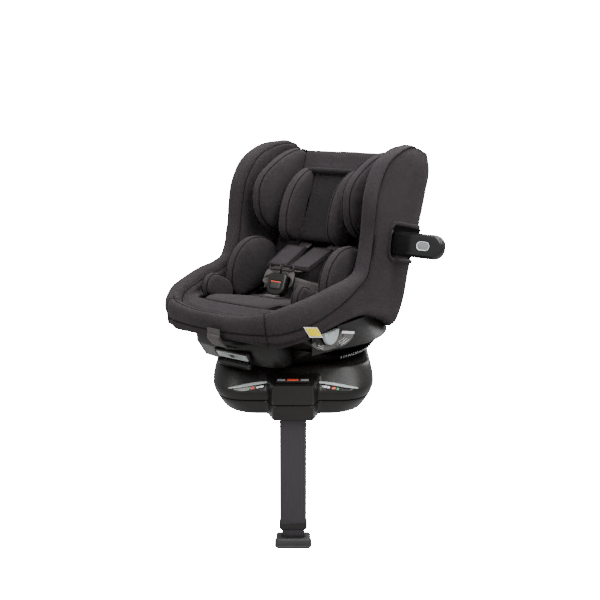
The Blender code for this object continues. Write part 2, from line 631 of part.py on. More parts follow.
def build_harness():
    for side, label in ((1, "left"), (-1, "right")):
        route = [(side * 0.044, *back_point(0.092, 0.036)), (side * 0.042, *back_point(0.076, 0.050)),
                 (side * 0.040, 0.078, 0.3320), (side * 0.034, 0.035, 0.3130),
                 (side * 0.027, -0.020, 0.2975), (side * 0.0215, -0.038, 0.2985)]
        ribbon(f"shoulder_strap_{label}", route, (1, 0, 0), 0.0175, 0.0024, WEBBING)
        pad_route = [(side * 0.0395, 0.0740, 0.3425), (side * 0.0335, 0.0310, 0.3232),
                     (side * 0.0295, -0.0220, 0.3085)]
        ribbon(f"shoulder_pad_{label}", pad_route, (1, 0, 0), 0.0270, 0.0130, PADDING)
        lap = [(side * 0.106, 0.032, 0.2460), (side * 0.094, 0.008, 0.2530),
               (side * 0.066, -0.024, 0.2640), (side * 0.036, -0.048, 0.2720)]
        ribbon(f"lap_strap_{label}", lap, (0.0, 0.35, 0.94), 0.0150, 0.0024, WEBBING)
        box(f"buckle_tongue_{label}", (0.0200, 0.0032, 0.0180),
            buckle_point(side * 0.0130, 0.0375, 0.0), STEEL, SWIVEL, BUCKLE_TURN, 0.0008)
    body = box("buckle_body", (0.054, 0.022, 0.056), buckle_point(0.0, 0.0, 0.0), BLACK, SWIVEL,
               BUCKLE_TURN, 0.006, 3)
    cut_box(body, (0.0276, 0.0124, 0.0176), buckle_point(0.0, -0.002, 0.0110), SWIVEL, BUCKLE_TURN)
    box("buckle_button", (0.0268, 0.0070, 0.0168), buckle_point(0.0, -0.002, 0.0102), RED, SWIVEL,
        BUCKLE_TURN, 0.0012)
    box("crotch_pad", (0.066, 0.058, 0.007), (0.0, -0.104, 0.2453), PADDING, SWIVEL,
        Matrix.Rotation(math.radians(-12.5), 4, "X"), 0.003)


# ---------------------------------------------------------------- side impact pods
def build_pod(side, label, deployed):
    """A pod on a pin at the front of its recess; stowed it points to the rear."""
    lean = math.radians(POD_LEAN)
    hinge_x = side * POD_HINGE[0]
    pivot = empty(f"pod_{label}_axis", (hinge_x, POD_HINGE[1], POD_HINGE[2]), SWIVEL)
    pivot.rotation_euler = (-lean, 0.0, 0.0)
    turn = Matrix.Rotation(math.radians(-90.0 * side if deployed else 0.0), 4, "Z")
    centre = turn @ Vector((0.0, 0.004 + POD_LENGTH / 2, 0.0))
    capsule = box(f"side_pod_{label}", (POD_DEPTH, POD_LENGTH, POD_HEIGHT), centre, GLOSS, pivot,
                  turn, 0.010, 4)
    cut_rod(capsule, 0.0044, 0.10, (0.0, 0.0, 0.0), (0, 0, 1), pivot, 20)
    outer = Vector((side * POD_DEPTH / 2, POD_LENGTH - 0.047, 0.0))
    cut_box(capsule, (0.0150, 0.0330, 0.0210), turn @ outer, pivot, turn)
    button = turn @ (outer - Vector((side * 0.0028, 0.0, 0.0)))
    box(f"pod_button_{label}", (0.0062, 0.0320, 0.0200), button, SILVER, pivot, turn, 0.0018)
    rod(f"pod_pin_{label}", 0.0040, POD_HEIGHT + 0.006, (0.0, 0.0, 0.0), (0, 0, 1), STEEL, pivot,
        sides=16)


build_base()
build_base_details()
build_leg()
build_isofix()
build_carriage()
build_cover()
build_seat_shell()
build_front()
build_cover_details()
build_headrest()
build_insert()
build_harness()
build_pod(1, "left", True)
build_pod(-1, "right", False)
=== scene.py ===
# Looks of the swivelling child car seat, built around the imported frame.
import json
import math

import bmesh
import bpy
import numpy as np
from mathutils import Matrix, Vector
from mathutils.bvhtree import BVHTree
from mathutils.kdtree import KDTree


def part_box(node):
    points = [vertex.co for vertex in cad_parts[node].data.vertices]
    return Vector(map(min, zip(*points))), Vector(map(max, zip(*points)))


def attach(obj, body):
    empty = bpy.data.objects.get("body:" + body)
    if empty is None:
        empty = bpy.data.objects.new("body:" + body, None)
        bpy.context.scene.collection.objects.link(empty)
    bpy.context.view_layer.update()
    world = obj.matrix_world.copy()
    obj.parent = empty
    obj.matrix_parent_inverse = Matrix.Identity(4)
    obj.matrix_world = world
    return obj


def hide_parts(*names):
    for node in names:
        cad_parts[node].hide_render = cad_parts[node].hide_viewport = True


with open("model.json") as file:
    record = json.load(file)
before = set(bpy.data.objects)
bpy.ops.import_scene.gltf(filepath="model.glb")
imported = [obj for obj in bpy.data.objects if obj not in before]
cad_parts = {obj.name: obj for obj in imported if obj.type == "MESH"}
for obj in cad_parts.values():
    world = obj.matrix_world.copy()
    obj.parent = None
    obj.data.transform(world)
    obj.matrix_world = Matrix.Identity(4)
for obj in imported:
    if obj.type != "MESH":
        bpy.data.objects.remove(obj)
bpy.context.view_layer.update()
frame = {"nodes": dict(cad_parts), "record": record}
JOINTS = {joint["name"]: joint for joint in frame["record"]["behaviour"]["joints"]}
SIDES = ((1, "left"), (-1, "right"))
BODIES = frame["record"]["behaviour"]["bodies"]
SLOTS = {part["node"]: part["material_slot"] for part in frame["record"]["subparts"]}

# ---------------------------------------------------------------- frames of reference
# The seat is drawn facing -Y about the swivel axis, then turned to where it rests.
RECLINE_AXIS = Vector(JOINTS["seat_recline"]["axis"])
SEAT_TURN = Matrix.Rotation(math.atan2(-RECLINE_AXIS.y, -RECLINE_AXIS.x), 4, "Z")
RISE = SEAT_TURN.inverted() @ Vector(JOINTS["headrest_height"]["axis"])
BACK_LEAN = math.atan2(RISE.y, RISE.z)
BACK_FOOT = (0.120, 0.245)      # y, z where the backrest's face starts, in the seat's frame


def side_label(side):
    return "left" if side > 0 else "right"


def seat_middle(node):
    """The middle of a CAD node's box, in the seat's frame."""
    low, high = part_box(node)
    return SEAT_TURN.inverted() @ ((low + high) / 2)


def back(x, up, out):
    """A point of the seat's frame, up along the backrest and out in front of it."""
    y = BACK_FOOT[0] + up * math.sin(BACK_LEAN) - out * math.cos(BACK_LEAN)
    z = BACK_FOOT[1] + up * math.cos(BACK_LEAN) + out * math.sin(BACK_LEAN)
    return Vector((x, y, z))


# ---------------------------------------------------------------- materials
def new_material(name):
    mat = bpy.data.materials.new(name)
    mat.use_nodes = True
    nodes = mat.node_tree.nodes
    return mat, nodes, mat.node_tree.links, nodes["Principled BSDF"]


def set_inputs(node, values):
    for name, value in values.items():
        node.inputs[name].default_value = value


def noise_colour(nodes, links, coords, scale, low, high, detail=3.0, stretch=None):
    """A colour that wanders between two tones."""
    source = coords.outputs["Object"]
    if stretch:
        mapping = nodes.new("ShaderNodeMapping")
        mapping.inputs["Scale"].default_value = stretch
        links.new(source, mapping.inputs["Vector"])
        source = mapping.outputs["Vector"]
    noise = nodes.new("ShaderNodeTexNoise")
    set_inputs(noise, {"Scale": scale, "Detail": detail})
    links.new(source, noise.inputs["Vector"])
    ramp = nodes.new("ShaderNodeValToRGB")
    ramp.color_ramp.elements[0].position = 0.32
    ramp.color_ramp.elements[1].position = 0.68
    ramp.color_ramp.elements[0].color = (*low, 1.0)
    ramp.color_ramp.elements[1].color = (*high, 1.0)
    links.new(noise.outputs["Fac"], ramp.inputs["Fac"])
    return ramp.outputs["Color"], noise.outputs["Fac"]


def thread_waves(nodes, links, coords, pitch, directions):
    """Crossed rows of threads as one height value."""
    total = None
    for direction in directions:
        along = nodes.new("ShaderNodeVectorMath")
        along.operation = "DOT_PRODUCT"
        along.inputs[1].default_value = Vector(direction).normalized() * (2.0 * math.pi / pitch)
        links.new(coords.outputs["Object"], along.inputs[0])
        sine = nodes.new("ShaderNodeMath")
        sine.operation = "SINE"
        links.new(along.outputs["Value"], sine.inputs[0])
        if total is None:
            total = sine.outputs["Value"]
            continue
        add = nodes.new("ShaderNodeMath")
        add.operation = "ADD"
        links.new(total, add.inputs[0])
        links.new(sine.outputs["Value"], add.inputs[1])
        total = add.outputs["Value"]
    return total


def uneven_gloss(nodes, links, shader, source, low, high):
    """Roughness that follows a noise between two values."""
    gloss = nodes.new("ShaderNodeMapRange")
    set_inputs(gloss, {"To Min": low, "To Max": high})
    links.new(source, gloss.inputs["Value"])
    links.new(gloss.outputs["Result"], shader.inputs["Roughness"])


def add_bump(nodes, links, shader, height, distance, strength):
    bump = nodes.new("ShaderNodeBump")
    set_inputs(bump, {"Distance": distance, "Strength": strength})
    links.new(height, bump.inputs["Height"])
    links.new(bump.outputs["Normal"], shader.inputs["Normal"])


FLECK_SCALE = 900.0     # noise as fine as yarn
CLOUD_SCALE = 9.0       # slow change of shade over a panel
BRUSHED = (60.0, 60.0, 2.0)


def fabric(name, low, high, pitch=0.0016, depth=0.00018, sheen=0.06):
    """Woven melange cloth: two mixed yarn tones, crossed threads and a soft sheen."""
    mat, nodes, links, shader = new_material(name)
    coords = nodes.new("ShaderNodeTexCoord")
    flecks, _ = noise_colour(nodes, links, coords, FLECK_SCALE, low, high, 2.0)
    shade, _ = noise_colour(nodes, links, coords, CLOUD_SCALE, (0.80, 0.80, 0.80),
                            (1.12, 1.12, 1.12))
    mix = nodes.new("ShaderNodeMix")
    mix.data_type = "RGBA"
    mix.blend_type = "MULTIPLY"
    mix.inputs["Factor"].default_value = 1.0
    links.new(flecks, mix.inputs["A"])
    links.new(shade, mix.inputs["B"])
    links.new(mix.outputs["Result"], shader.inputs["Base Color"])
    set_inputs(shader, {"Roughness": 0.92, "Sheen Weight": sheen, "Sheen Roughness": 0.45,
                        "Sheen Tint": (0.80, 0.74, 0.77, 1.0), "Specular IOR Level": 0.16})
    height = thread_waves(nodes, links, coords, pitch,
                          [(1, 0.3, 1), (1, -0.2, -1), (0.1, 1, 0.25)])
    add_bump(nodes, links, shader, height, depth, 0.8)
    return mat


def plastic(name, low, high, roughness=0.42, grain=0.00006, coat=0.0, grain_scale=1400.0, gleam=0.5):
    """Moulded plastic: faint tone drift, fine grain and slightly uneven gloss."""
    mat, nodes, links, shader = new_material(name)
    coords = nodes.new("ShaderNodeTexCoord")
    colour, cloud = noise_colour(nodes, links, coords, 14.0, low, high)
    links.new(colour, shader.inputs["Base Color"])
    uneven_gloss(nodes, links, shader, cloud, roughness - 0.06, roughness + 0.08)
    set_inputs(shader, {"Specular IOR Level": gleam, "Coat Weight": coat, "Coat Roughness": 0.15})
    texture = nodes.new("ShaderNodeTexNoise")
    set_inputs(texture, {"Scale": grain_scale, "Detail": 2.0})
    links.new(coords.outputs["Object"], texture.inputs["Vector"])
    add_bump(nodes, links, shader, texture.outputs["Fac"], grain, 0.6)
    return mat


def metal(name, low, high, roughness=0.35, metallic=1.0):
    """Drawn or brushed metal, with fine lines along its length."""
    mat, nodes, links, shader = new_material(name)
    coords = nodes.new("ShaderNodeTexCoord")
    colour, streak = noise_colour(nodes, links, coords, 12.0, low, high, 4.0, BRUSHED)
    links.new(colour, shader.inputs["Base Color"])
    shader.inputs["Metallic"].default_value = metallic
    uneven_gloss(nodes, links, shader, streak, roughness - 0.08, roughness + 0.10)
    add_bump(nodes, links, shader, streak, 0.00003, 0.5)
    return mat


def webbing_material(name, low, high):
    """Seat-belt webbing: fine ribs across the strap."""
    mat, nodes, links, shader = new_material(name)
    coords = nodes.new("ShaderNodeTexCoord")
    colour, _ = noise_colour(nodes, links, coords, 500.0, low, high, 2.0)
    links.new(colour, shader.inputs["Base Color"])
    set_inputs(shader, {"Roughness": 0.62, "Sheen Weight": 0.05})
    height = thread_waves(nodes, links, coords, 0.0022, [(0.4, 1, 0.6), (1, 0.1, 0.1)])
    add_bump(nodes, links, shader, height, 0.00022, 0.9)
    return mat


FABRIC = fabric("charcoal_melange", (0.0135, 0.0110, 0.0123), (0.0280, 0.0232, 0.0258))
FABRIC_SIDE = fabric("side_fabric", (0.0124, 0.0088, 0.0104), (0.0222, 0.0164, 0.0190))
LINING = fabric("insert_knit", (0.0120, 0.0102, 0.0108), (0.0260, 0.0225, 0.0235), pitch=0.0012,
                depth=0.0001)
# Darker knit for the pillow's middle panel and brow: painted shade, as they sit in the headrest's shadow.
PILLOW_KNIT_SHADED = fabric("pillow_knit_painted_shade", (0.0060, 0.0050, 0.0054), (0.0130, 0.0112, 0.0118), pitch=0.0012,
                     depth=0.0001)
BINDING = fabric("edge_binding", (0.0045, 0.0038, 0.0040), (0.0085, 0.0070, 0.0075), pitch=0.0010,
                 depth=0.0001, sheen=0.02)
# Near-black cloth for the seam lines and the pads' piping: painted shade in the seam grooves.
SEAM_SHADE = fabric("seam_shadow", (0.0012, 0.0010, 0.0010), (0.0024, 0.0020, 0.0021), pitch=0.0010,
              depth=0.00005, sheen=0.0)
THREAD = fabric("sewing_thread", (0.0050, 0.0042, 0.0044), (0.0100, 0.0085, 0.0090), pitch=0.0007,
                sheen=0.02)
WEBBING = webbing_material("harness_webbing", (0.022, 0.0175, 0.0175), (0.042, 0.0335, 0.0325))
BLACK = plastic("black_shell_plastic", (0.0042, 0.0034, 0.0032), (0.0068, 0.0056, 0.0052), 0.34,
                gleam=0.30)
BLACK_FINE = plastic("black_fine_plastic", (0.0040, 0.0034, 0.0032), (0.0062, 0.0053, 0.0050), 0.28,
                     gleam=0.34)
GLOSS = plastic("gloss_black", (0.0030, 0.0030, 0.0034), (0.0050, 0.0050, 0.0056), 0.18, 0.00001, 0.12,
                gleam=0.34)
SILVER = plastic("silver_paint", (0.26, 0.28, 0.28), (0.34, 0.36, 0.36), 0.34, 0.00002)
GREY = plastic("grey_button", (0.12, 0.13, 0.135), (0.18, 0.19, 0.20), 0.40, gleam=0.3)
GREY_DARK = plastic("dark_grey_button", (0.010, 0.009, 0.009), (0.015, 0.0135, 0.013), 0.30)
GREY_BUTTON = plastic("pale_grey_button", (0.30, 0.33, 0.33), (0.38, 0.41, 0.41), 0.36)
PANEL_GREY = plastic("panel_grey", (0.060, 0.057, 0.056), (0.080, 0.076, 0.074), 0.45)
WHITE_BAR = plastic("white_bar", (0.60, 0.61, 0.61), (0.72, 0.73, 0.73), 0.40)
PALE = plastic("pale_rim", (0.55, 0.56, 0.57), (0.66, 0.67, 0.68), 0.36)
RED = plastic("red_plastic", (0.50, 0.045, 0.02), (0.62, 0.07, 0.03), 0.36)
GREEN = plastic("green_mark", (0.03, 0.32, 0.10), (0.05, 0.42, 0.14), 0.40)
YELLOW = fabric("yellow_tape", (0.52, 0.40, 0.0), (0.62, 0.49, 0.0), pitch=0.0010, depth=0.00008,
                sheen=0.0)
WHITE = fabric("white_tape", (0.50, 0.50, 0.47), (0.62, 0.62, 0.59), pitch=0.0010, depth=0.00008)
RECESS = plastic("recess_black", (0.0020, 0.0018, 0.0018), (0.0032, 0.0029, 0.0028), 0.75, gleam=0.04)
DARK_STEEL = metal("dark_steel", (0.050, 0.046, 0.045), (0.085, 0.078, 0.076), 0.30)
STEEL = metal("zinc_steel", (0.42, 0.42, 0.43), (0.62, 0.62, 0.63), 0.30)
TUBE = metal("satin_tube", (0.028, 0.024, 0.028), (0.033, 0.029, 0.033), 0.40, 0.45)
RUBBER = plastic("black_rubber", (0.011, 0.0105, 0.011), (0.017, 0.016, 0.017), 0.62, 0.00012, 0.0, 700.0)


# ---------------------------------------------------------------- mesh helpers
def spline(points, step, closed=False, knots=None):
    """Smooth rows through points or rows of points, about a step apart.
    The list given as knots receives the number of the row at each point."""
    p = np.asarray(points, float)
    if closed:
        p = np.concatenate([p, p[:1]])
    runs = np.linalg.norm(np.diff(p.reshape(len(p), -1, p.shape[-1]), axis=0), axis=2)
    chords = np.maximum(runs.mean(axis=1), 1e-6)
    widths = chords.reshape((-1,) + (1,) * (p.ndim - 1))
    slopes = np.diff(p, axis=0) / widths
    tangents = np.concatenate([slopes[:1], slopes])
    tangents[1:-1] = (slopes[:-1] * widths[1:] + slopes[1:] * widths[:-1]) / (widths[1:] + widths[:-1])
    if closed:
        tangents[0] = (slopes[-1] * chords[0] + slopes[0] * chords[-1]) / (chords[0] + chords[-1])
        tangents[-1] = tangents[0]
    rows = []
    for i, chord in enumerate(chords):
        count = max(1, round(chord / step))
        if knots is not None:
            knots.append(len(rows))
        for t in np.arange(count) / count:
            rows.append((2 * t ** 3 - 3 * t ** 2 + 1) * p[i]
                        + (t ** 3 - 2 * t ** 2 + t) * chord * tangents[i]
                        + (3 * t ** 2 - 2 * t ** 3) * p[i + 1]
                        + (t ** 3 - t ** 2) * chord * tangents[i + 1])
    if not closed:
        rows.append(p[-1])
    return np.array(rows)


def spline_surface(rows, step, cross_step, **options):
    """A smooth grid through rows of points; the options are for the splines across the rows."""
    return spline(spline(rows, step).swapaxes(0, 1), cross_step, **options).swapaxes(0, 1)


def surface_tree(obj):
    return BVHTree.FromPolygons([v.co for v in obj.data.vertices],
                                [p.vertices for p in obj.data.polygons])


def grid_faces(rows, columns, wrap_rows=False, wrap_columns=False):
    faces = []
    for i in range(rows if wrap_rows else rows - 1):
        for j in range(columns if wrap_columns else columns - 1):
            k = (i + 1) % rows
            m = (j + 1) % columns
            faces.append((i * columns + j, i * columns + m, k * columns + m, k * columns + j))
    return faces


def new_object(name, verts, faces, mats, sharp=40.0, pick=None):
    """A smooth-shaded mesh object with outward normals; mats is one material or several.
    pick gives the material number of each face."""
    bm = bmesh.new()
    corners = [bm.verts.new(v) for v in verts]
    for number, face in enumerate(faces):
        made = bm.faces.new([corners[i] for i in face])
        made.material_index = pick[number] if pick else 0
    bmesh.ops.remove_doubles(bm, verts=bm.verts, dist=1e-6)
    bmesh.ops.recalc_face_normals(bm, faces=bm.faces)
    mesh = bpy.data.meshes.new(name)
    bm.to_mesh(mesh)
    bm.free()
    for mat in (mats if isinstance(mats, (list, tuple)) else [mats]):
        mesh.materials.append(mat)
    mesh.shade_smooth()
    mesh.set_sharp_from_angle(angle=math.radians(sharp))
    obj = bpy.data.objects.new(name, mesh)
    bpy.context.scene.collection.objects.link(obj)
    return obj


def capped_grid(rows, columns):
    """Faces of a tube, row by row, then a flat cap at its start and one at its end."""
    last = (rows - 1) * columns
    caps = [tuple(reversed(range(columns))), tuple(range(last, last + columns))]
    return grid_faces(rows, columns, False, True) + caps


def loft(name, rings, mats, sharp=40.0, pick=None):
    """A closed form through rings of points."""
    faces = capped_grid(len(rings), len(rings[0]))
    return new_object(name, [p for ring in rings for p in ring], faces, mats, sharp, pick)


def settle(obj, body, slot, turned=True):
    """Puts a finished piece in place; pieces of the seat are drawn in the seat's frame."""
    if turned:
        obj.data.transform(SEAT_TURN)
    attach(obj, body)
    return obj


def apply_modifiers(obj):
    bpy.context.view_layer.update()
    evaluated = obj.evaluated_get(bpy.context.evaluated_depsgraph_get())
    mesh = bpy.data.meshes.new_from_object(evaluated)
    obj.modifiers.clear()
    obj.data = mesh
    return obj


def coordinates(obj):
    flat = np.zeros(len(obj.data.vertices) * 3)
    obj.data.vertices.foreach_get("co", flat)
    return flat.reshape(-1, 3)


def set_coordinates(obj, points):
    obj.data.vertices.foreach_set("co", np.asarray(points, float).ravel())
    obj.data.update()


def normals(obj):
    flat = np.zeros(len(obj.data.vertices) * 3)
    obj.data.vertices.foreach_get("normal", flat)
    return flat.reshape(-1, 3)


def nearest_distance(points, lines):
    """Distance from each point to the nearest point of any line."""
    spots = [p for line in lines for p in line]
    tree = KDTree(len(spots))
    for index, p in enumerate(spots):
        tree.insert(p, index)
    tree.balance()
    return np.array([tree.find(p)[2] for p in points])


def sink_seams(obj, lines, depth=0.0022, width=0.008, groove=0.0008):
    """Pulls the cloth in along its seams, so that it swells between them."""
    points = coordinates(obj)
    gap = nearest_distance(points, lines)
    pull = depth * np.exp(-(gap / width) ** 2) + groove * np.exp(-(gap / 0.0022) ** 2)
    set_coordinates(obj, points - normals(obj) * pull[:, None])


def onto(obj, line, lift=0.0):
    """The line laid on an object's surface, lifted off it a little."""
    tree = surface_tree(obj)
    laid = []
    for p in line:
        place, normal, _, _ = tree.find_nearest(Vector(p))
        laid.append(place + normal * lift)
    return laid


def tube_mesh(line, radius, sides, closed):
    """Vertices and faces of a round cord along a line."""
    line = [Vector(p) for p in line]
    count = len(line)
    side = None
    verts = []
    for k, p in enumerate(line):
        before = line[k - 1] if closed or k else p
        after = line[(k + 1) % count] if closed or k < count - 1 else p
        run = (after - before).normalized()
        if side is None:
            side = run.orthogonal().normalized()
        side = (side - run * side.dot(run)).normalized()
        other = run.cross(side)
        for j in range(sides):
            a = 2.0 * math.pi * j / sides
            verts.append(p + side * math.cos(a) * radius + other * math.sin(a) * radius)
    faces = grid_faces(count, sides, True, True) if closed else capped_grid(count, sides)
    return verts, faces


THREAD_RADIUS = 0.00042


def cords(name, lines, radius, mat, body, slot, sides=8, closed=False, turned=True):
    """Piping or thread along one or more lines, as one piece."""
    verts = []
    faces = []
    for line in lines:
        new_verts, new_faces = tube_mesh(line, radius, sides, closed)
        faces += [tuple(i + len(verts) for i in face) for face in new_faces]
        verts += new_verts
    return settle(new_object(name, verts, faces, mat, 60.0), body, slot, turned)


def stitches(name, lines, body, slot, length=0.0032, pitch=0.0052):
    """Short thread stitches spaced along each line."""
    dashes = []
    for line in lines:
        line = np.asarray([tuple(p) for p in line])
        travelled = np.concatenate([[0.0], np.cumsum(np.linalg.norm(np.diff(line, axis=0), axis=1))])
        for start in np.arange(pitch, travelled[-1] - length, pitch):
            spots = [start, start + length / 2, start + length]
            dashes.append([Vector([np.interp(s, travelled, line[:, a]) for a in range(3)])
                           for s in spots])
    return cords(name, dashes, THREAD_RADIUS, THREAD, body, slot, 5)


# ---------------------------------------------------------------- stage, lights and camera
WHITE_GLOW = 40.0


def add_for_camera(nodes, links, plain, bright, target):
    """The bright shader where the camera looks straight at it, the plain one for all other light."""
    path = nodes.new("ShaderNodeLightPath")
    mix = nodes.new("ShaderNodeMixShader")
    links.new(path.outputs["Is Camera Ray"], mix.inputs["Fac"])
    links.new(plain, mix.inputs[1])
    links.new(bright, mix.inputs[2])
    links.new(mix.outputs["Shader"], target)


def build_stage():
    """A floor and a backdrop that are white to the camera, and four soft lights."""
    floor_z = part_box("leg_foot_sole")[0].z
    bpy.ops.mesh.primitive_plane_add(size=14.0, location=(0.0, 0.0, floor_z))
    floor = bpy.context.object
    floor.name = "floor"
    mat, nodes, links, shader = new_material("pale_floor")
    set_inputs(shader, {"Base Color": (0.40, 0.40, 0.40, 1.0), "Roughness": 0.85})
    glow = nodes.new("ShaderNodeEmission")
    glow.inputs["Strength"].default_value = WHITE_GLOW
    add_for_camera(nodes, links, shader.outputs["BSDF"], glow.outputs["Emission"],
                   nodes["Material Output"].inputs["Surface"])
    floor.data.materials.append(mat)

    world = bpy.context.scene.world or bpy.data.worlds.new("studio")
    bpy.context.scene.world = world
    world.use_nodes = True
    nodes = world.node_tree.nodes
    ambient = nodes["Background"]
    set_inputs(ambient, {"Color": (1.0, 1.0, 1.0, 1.0), "Strength": 0.90})
    backdrop = nodes.new("ShaderNodeBackground")
    backdrop.inputs["Strength"].default_value = WHITE_GLOW
    add_for_camera(nodes, world.node_tree.links, ambient.outputs["Background"],
                   backdrop.outputs["Background"], nodes["World Output"].inputs["Surface"])

    for name, place, size, power in (
            ("key", (-1.2, -2.0, 2.3), 1.5, 78.0), ("fill", (1.5, -1.7, 2.5), 1.8, 84.0),
            ("top", (0.1, -0.2, 2.7), 1.6, 78.0), ("rim", (1.7, 1.9, 1.6), 1.4, 40.0)):
        light = bpy.data.lights.new(name, "AREA")
        light.size = size
        light.energy = power
        lamp = bpy.data.objects.new(name, light)
        lamp.location = place
        towards = Vector((0.0, 0.0, 0.28)) - Vector(place)
        lamp.rotation_euler = towards.to_track_quat("-Z", "Y").to_euler()
        bpy.context.scene.collection.objects.link(lamp)


def build_camera():
    """The photograph's view: level with the seat's middle, 13 degrees from above."""
    target = Vector((0.016, 0.0, 0.2207))
    elevation = math.radians(13.0)
    distance = 2.3
    data = bpy.data.cameras.new("camera")
    data.sensor_width = 36.0
    data.lens = 55.2
    data.clip_start = 0.05
    camera = bpy.data.objects.new("camera", data)
    camera.location = target + Vector((0.0, -math.cos(elevation), math.sin(elevation))) * distance
    camera.rotation_euler = (target - camera.location).to_track_quat("-Z", "Y").to_euler()
    bpy.context.scene.collection.objects.link(camera)
    bpy.context.scene.camera = camera


# ---------------------------------------------------------------- padded side walls and lip
WALL = 0.042
# From the middle of the front lip, over the side, to the top of the wing: x, the y and z of the
# hem, of the outer rim and of the join with the seat, and how far up the outer seam runs.
COVER_STATIONS = (
    (0.000, (-0.321, 0.192), (-0.337, 0.252), (0.000, -0.238, 0.2525), 0.36),
    (0.066, (-0.319, 0.191), (-0.335, 0.254), (0.060, -0.237, 0.2525), 0.38),
    (0.128, (-0.305, 0.185), (-0.322, 0.261), (0.098, -0.232, 0.2520), 0.42),
    (0.164, (-0.283, 0.181), (-0.294, 0.268), (0.120, -0.221, 0.2500), 0.42),
    (0.191, (-0.245, 0.190), (-0.250, 0.277), (0.137, -0.203, 0.2460), 0.40),
    (0.210, (-0.170, 0.207), (-0.182, 0.289), (0.154, -0.165, 0.2370), 0.40),
    (0.219, (-0.080, 0.218), (-0.115, 0.301), (0.165, -0.080, 0.2180), 0.56),
    (0.221, (-0.010, 0.214), (-0.062, 0.308), (0.167, -0.010, 0.2090), 0.76),
    (0.222, (0.060, 0.190), (-0.022, 0.322), (0.168, 0.055, 0.2120), 0.88),
    (0.222, (0.122, 0.163), (-0.004, 0.357), (0.168, 0.098, 0.2240), 0.935),
    (0.222, (0.166, 0.200), (0.006, 0.402), back(0.168, 0.030, 0.0), 0.945),
    (0.222, (0.204, 0.300), (0.012, 0.452), back(0.168, 0.110, 0.0), 0.945),
    (0.221, (0.247, 0.388), (0.024, 0.505), back(0.167, 0.190, 0.0), 0.94),
    (0.219, (0.282, 0.468), (0.066, 0.562), back(0.165, 0.265, 0.0), 0.93),
    (0.216, (0.304, 0.532), (0.148, 0.595), back(0.160, 0.315, 0.0), 0.90),
    (0.208, (0.300, 0.572), (0.222, 0.600), back(0.150, 0.338, 0.0), 0.80))
# How far the hem curls in under the cover at each of those stations.
HEM_CURL = (0.022, 0.030, 0.035, 0.032, 0.022, 0.014) + (0.012,) * 10
SEAM_ROW = 2            # number of the profile point that the outer seam runs through
LIP_ROW = 5             # of the one on top of the rim
INNER_ROW = 7           # and of the one at the inner edge of the rim


def wall_profile(x, hem, rim, join, seam, outward, curl):
    """The closed section of the padded wall at one station, from the hem up and over."""
    hem = Vector((x, *hem))
    rim = Vector((x, *rim))
    up = (rim - hem).normalized()
    reach = (rim - hem).length
    height = seam * reach

    def at(inward, along):
        return hem + up * along - outward * inward

    join = Vector(join)
    inner = at(WALL + 0.0015, reach - 0.016)
    middle = inner.lerp(join, 0.5) + (outward - up * 0.3).normalized() * 0.002
    under = join - up * 0.016 + outward * 0.012
    return [at(curl, 0.0), at(0.0005 + 0.40 * (curl - 0.012), height * 0.5), at(0.0010, height),
            at(0.0005, height + (reach - height) * 0.5), at(0.009, reach - 0.0020),
            at(0.024, reach + 0.0015), at(0.036, reach - 0.0035), inner,
            middle, join, under, at(curl + 0.010, height * 0.40), at(curl + 0.006, 0.0005)]


def cover_rows():
    """Profiles all round the wall, from the top of one wing to the top of the other."""
    half = []
    plan = [Vector((x, rim[0], 0.0)) for x, _, rim, _, _ in COVER_STATIONS]
    for k, (x, hem, rim, join, seam) in enumerate(COVER_STATIONS):
        run = plan[min(k + 1, len(plan) - 1)] - plan[k - 1] if k else Vector((1.0, 0.0, 0.0))
        outward = Vector((run.y, -run.x, 0.0)).normalized()
        sideways = min(1.0, max(0.0, (k - 3) / 3))
        outward = outward.lerp(Vector((1.0, 0.0, 0.0)), sideways).normalized()
        half.append(wall_profile(x, hem, rim, join, seam, outward, HEM_CURL[k]))
    mirrored = [[(-p[0], p[1], p[2]) for p in profile] for profile in half[:0:-1]]
    return np.array(mirrored + [[tuple(p) for p in profile] for profile in half])


COVER_ROWS = cover_rows()
SIDE_ROW = len(COVER_STATIONS) - 1     # the row in the middle of the lip


def cover_line(point):
    """A smooth line along the wall through one point of each profile."""
    return spline(COVER_ROWS[:, point], 0.004)


def lip_crossing(x):
    """The section over the lip at one distance from the middle, from the hem to the inner edge."""
    order = np.argsort(COVER_ROWS[SIDE_ROW - 5:SIDE_ROW + 6, 3, 0])
    rows = COVER_ROWS[SIDE_ROW - 5:SIDE_ROW + 6][order]
    section = [[np.interp(x, rows[:, 3, 0], rows[:, k, a]) for a in range(3)]
               for k in range(INNER_ROW + 1)]
    return spline(section, 0.003)


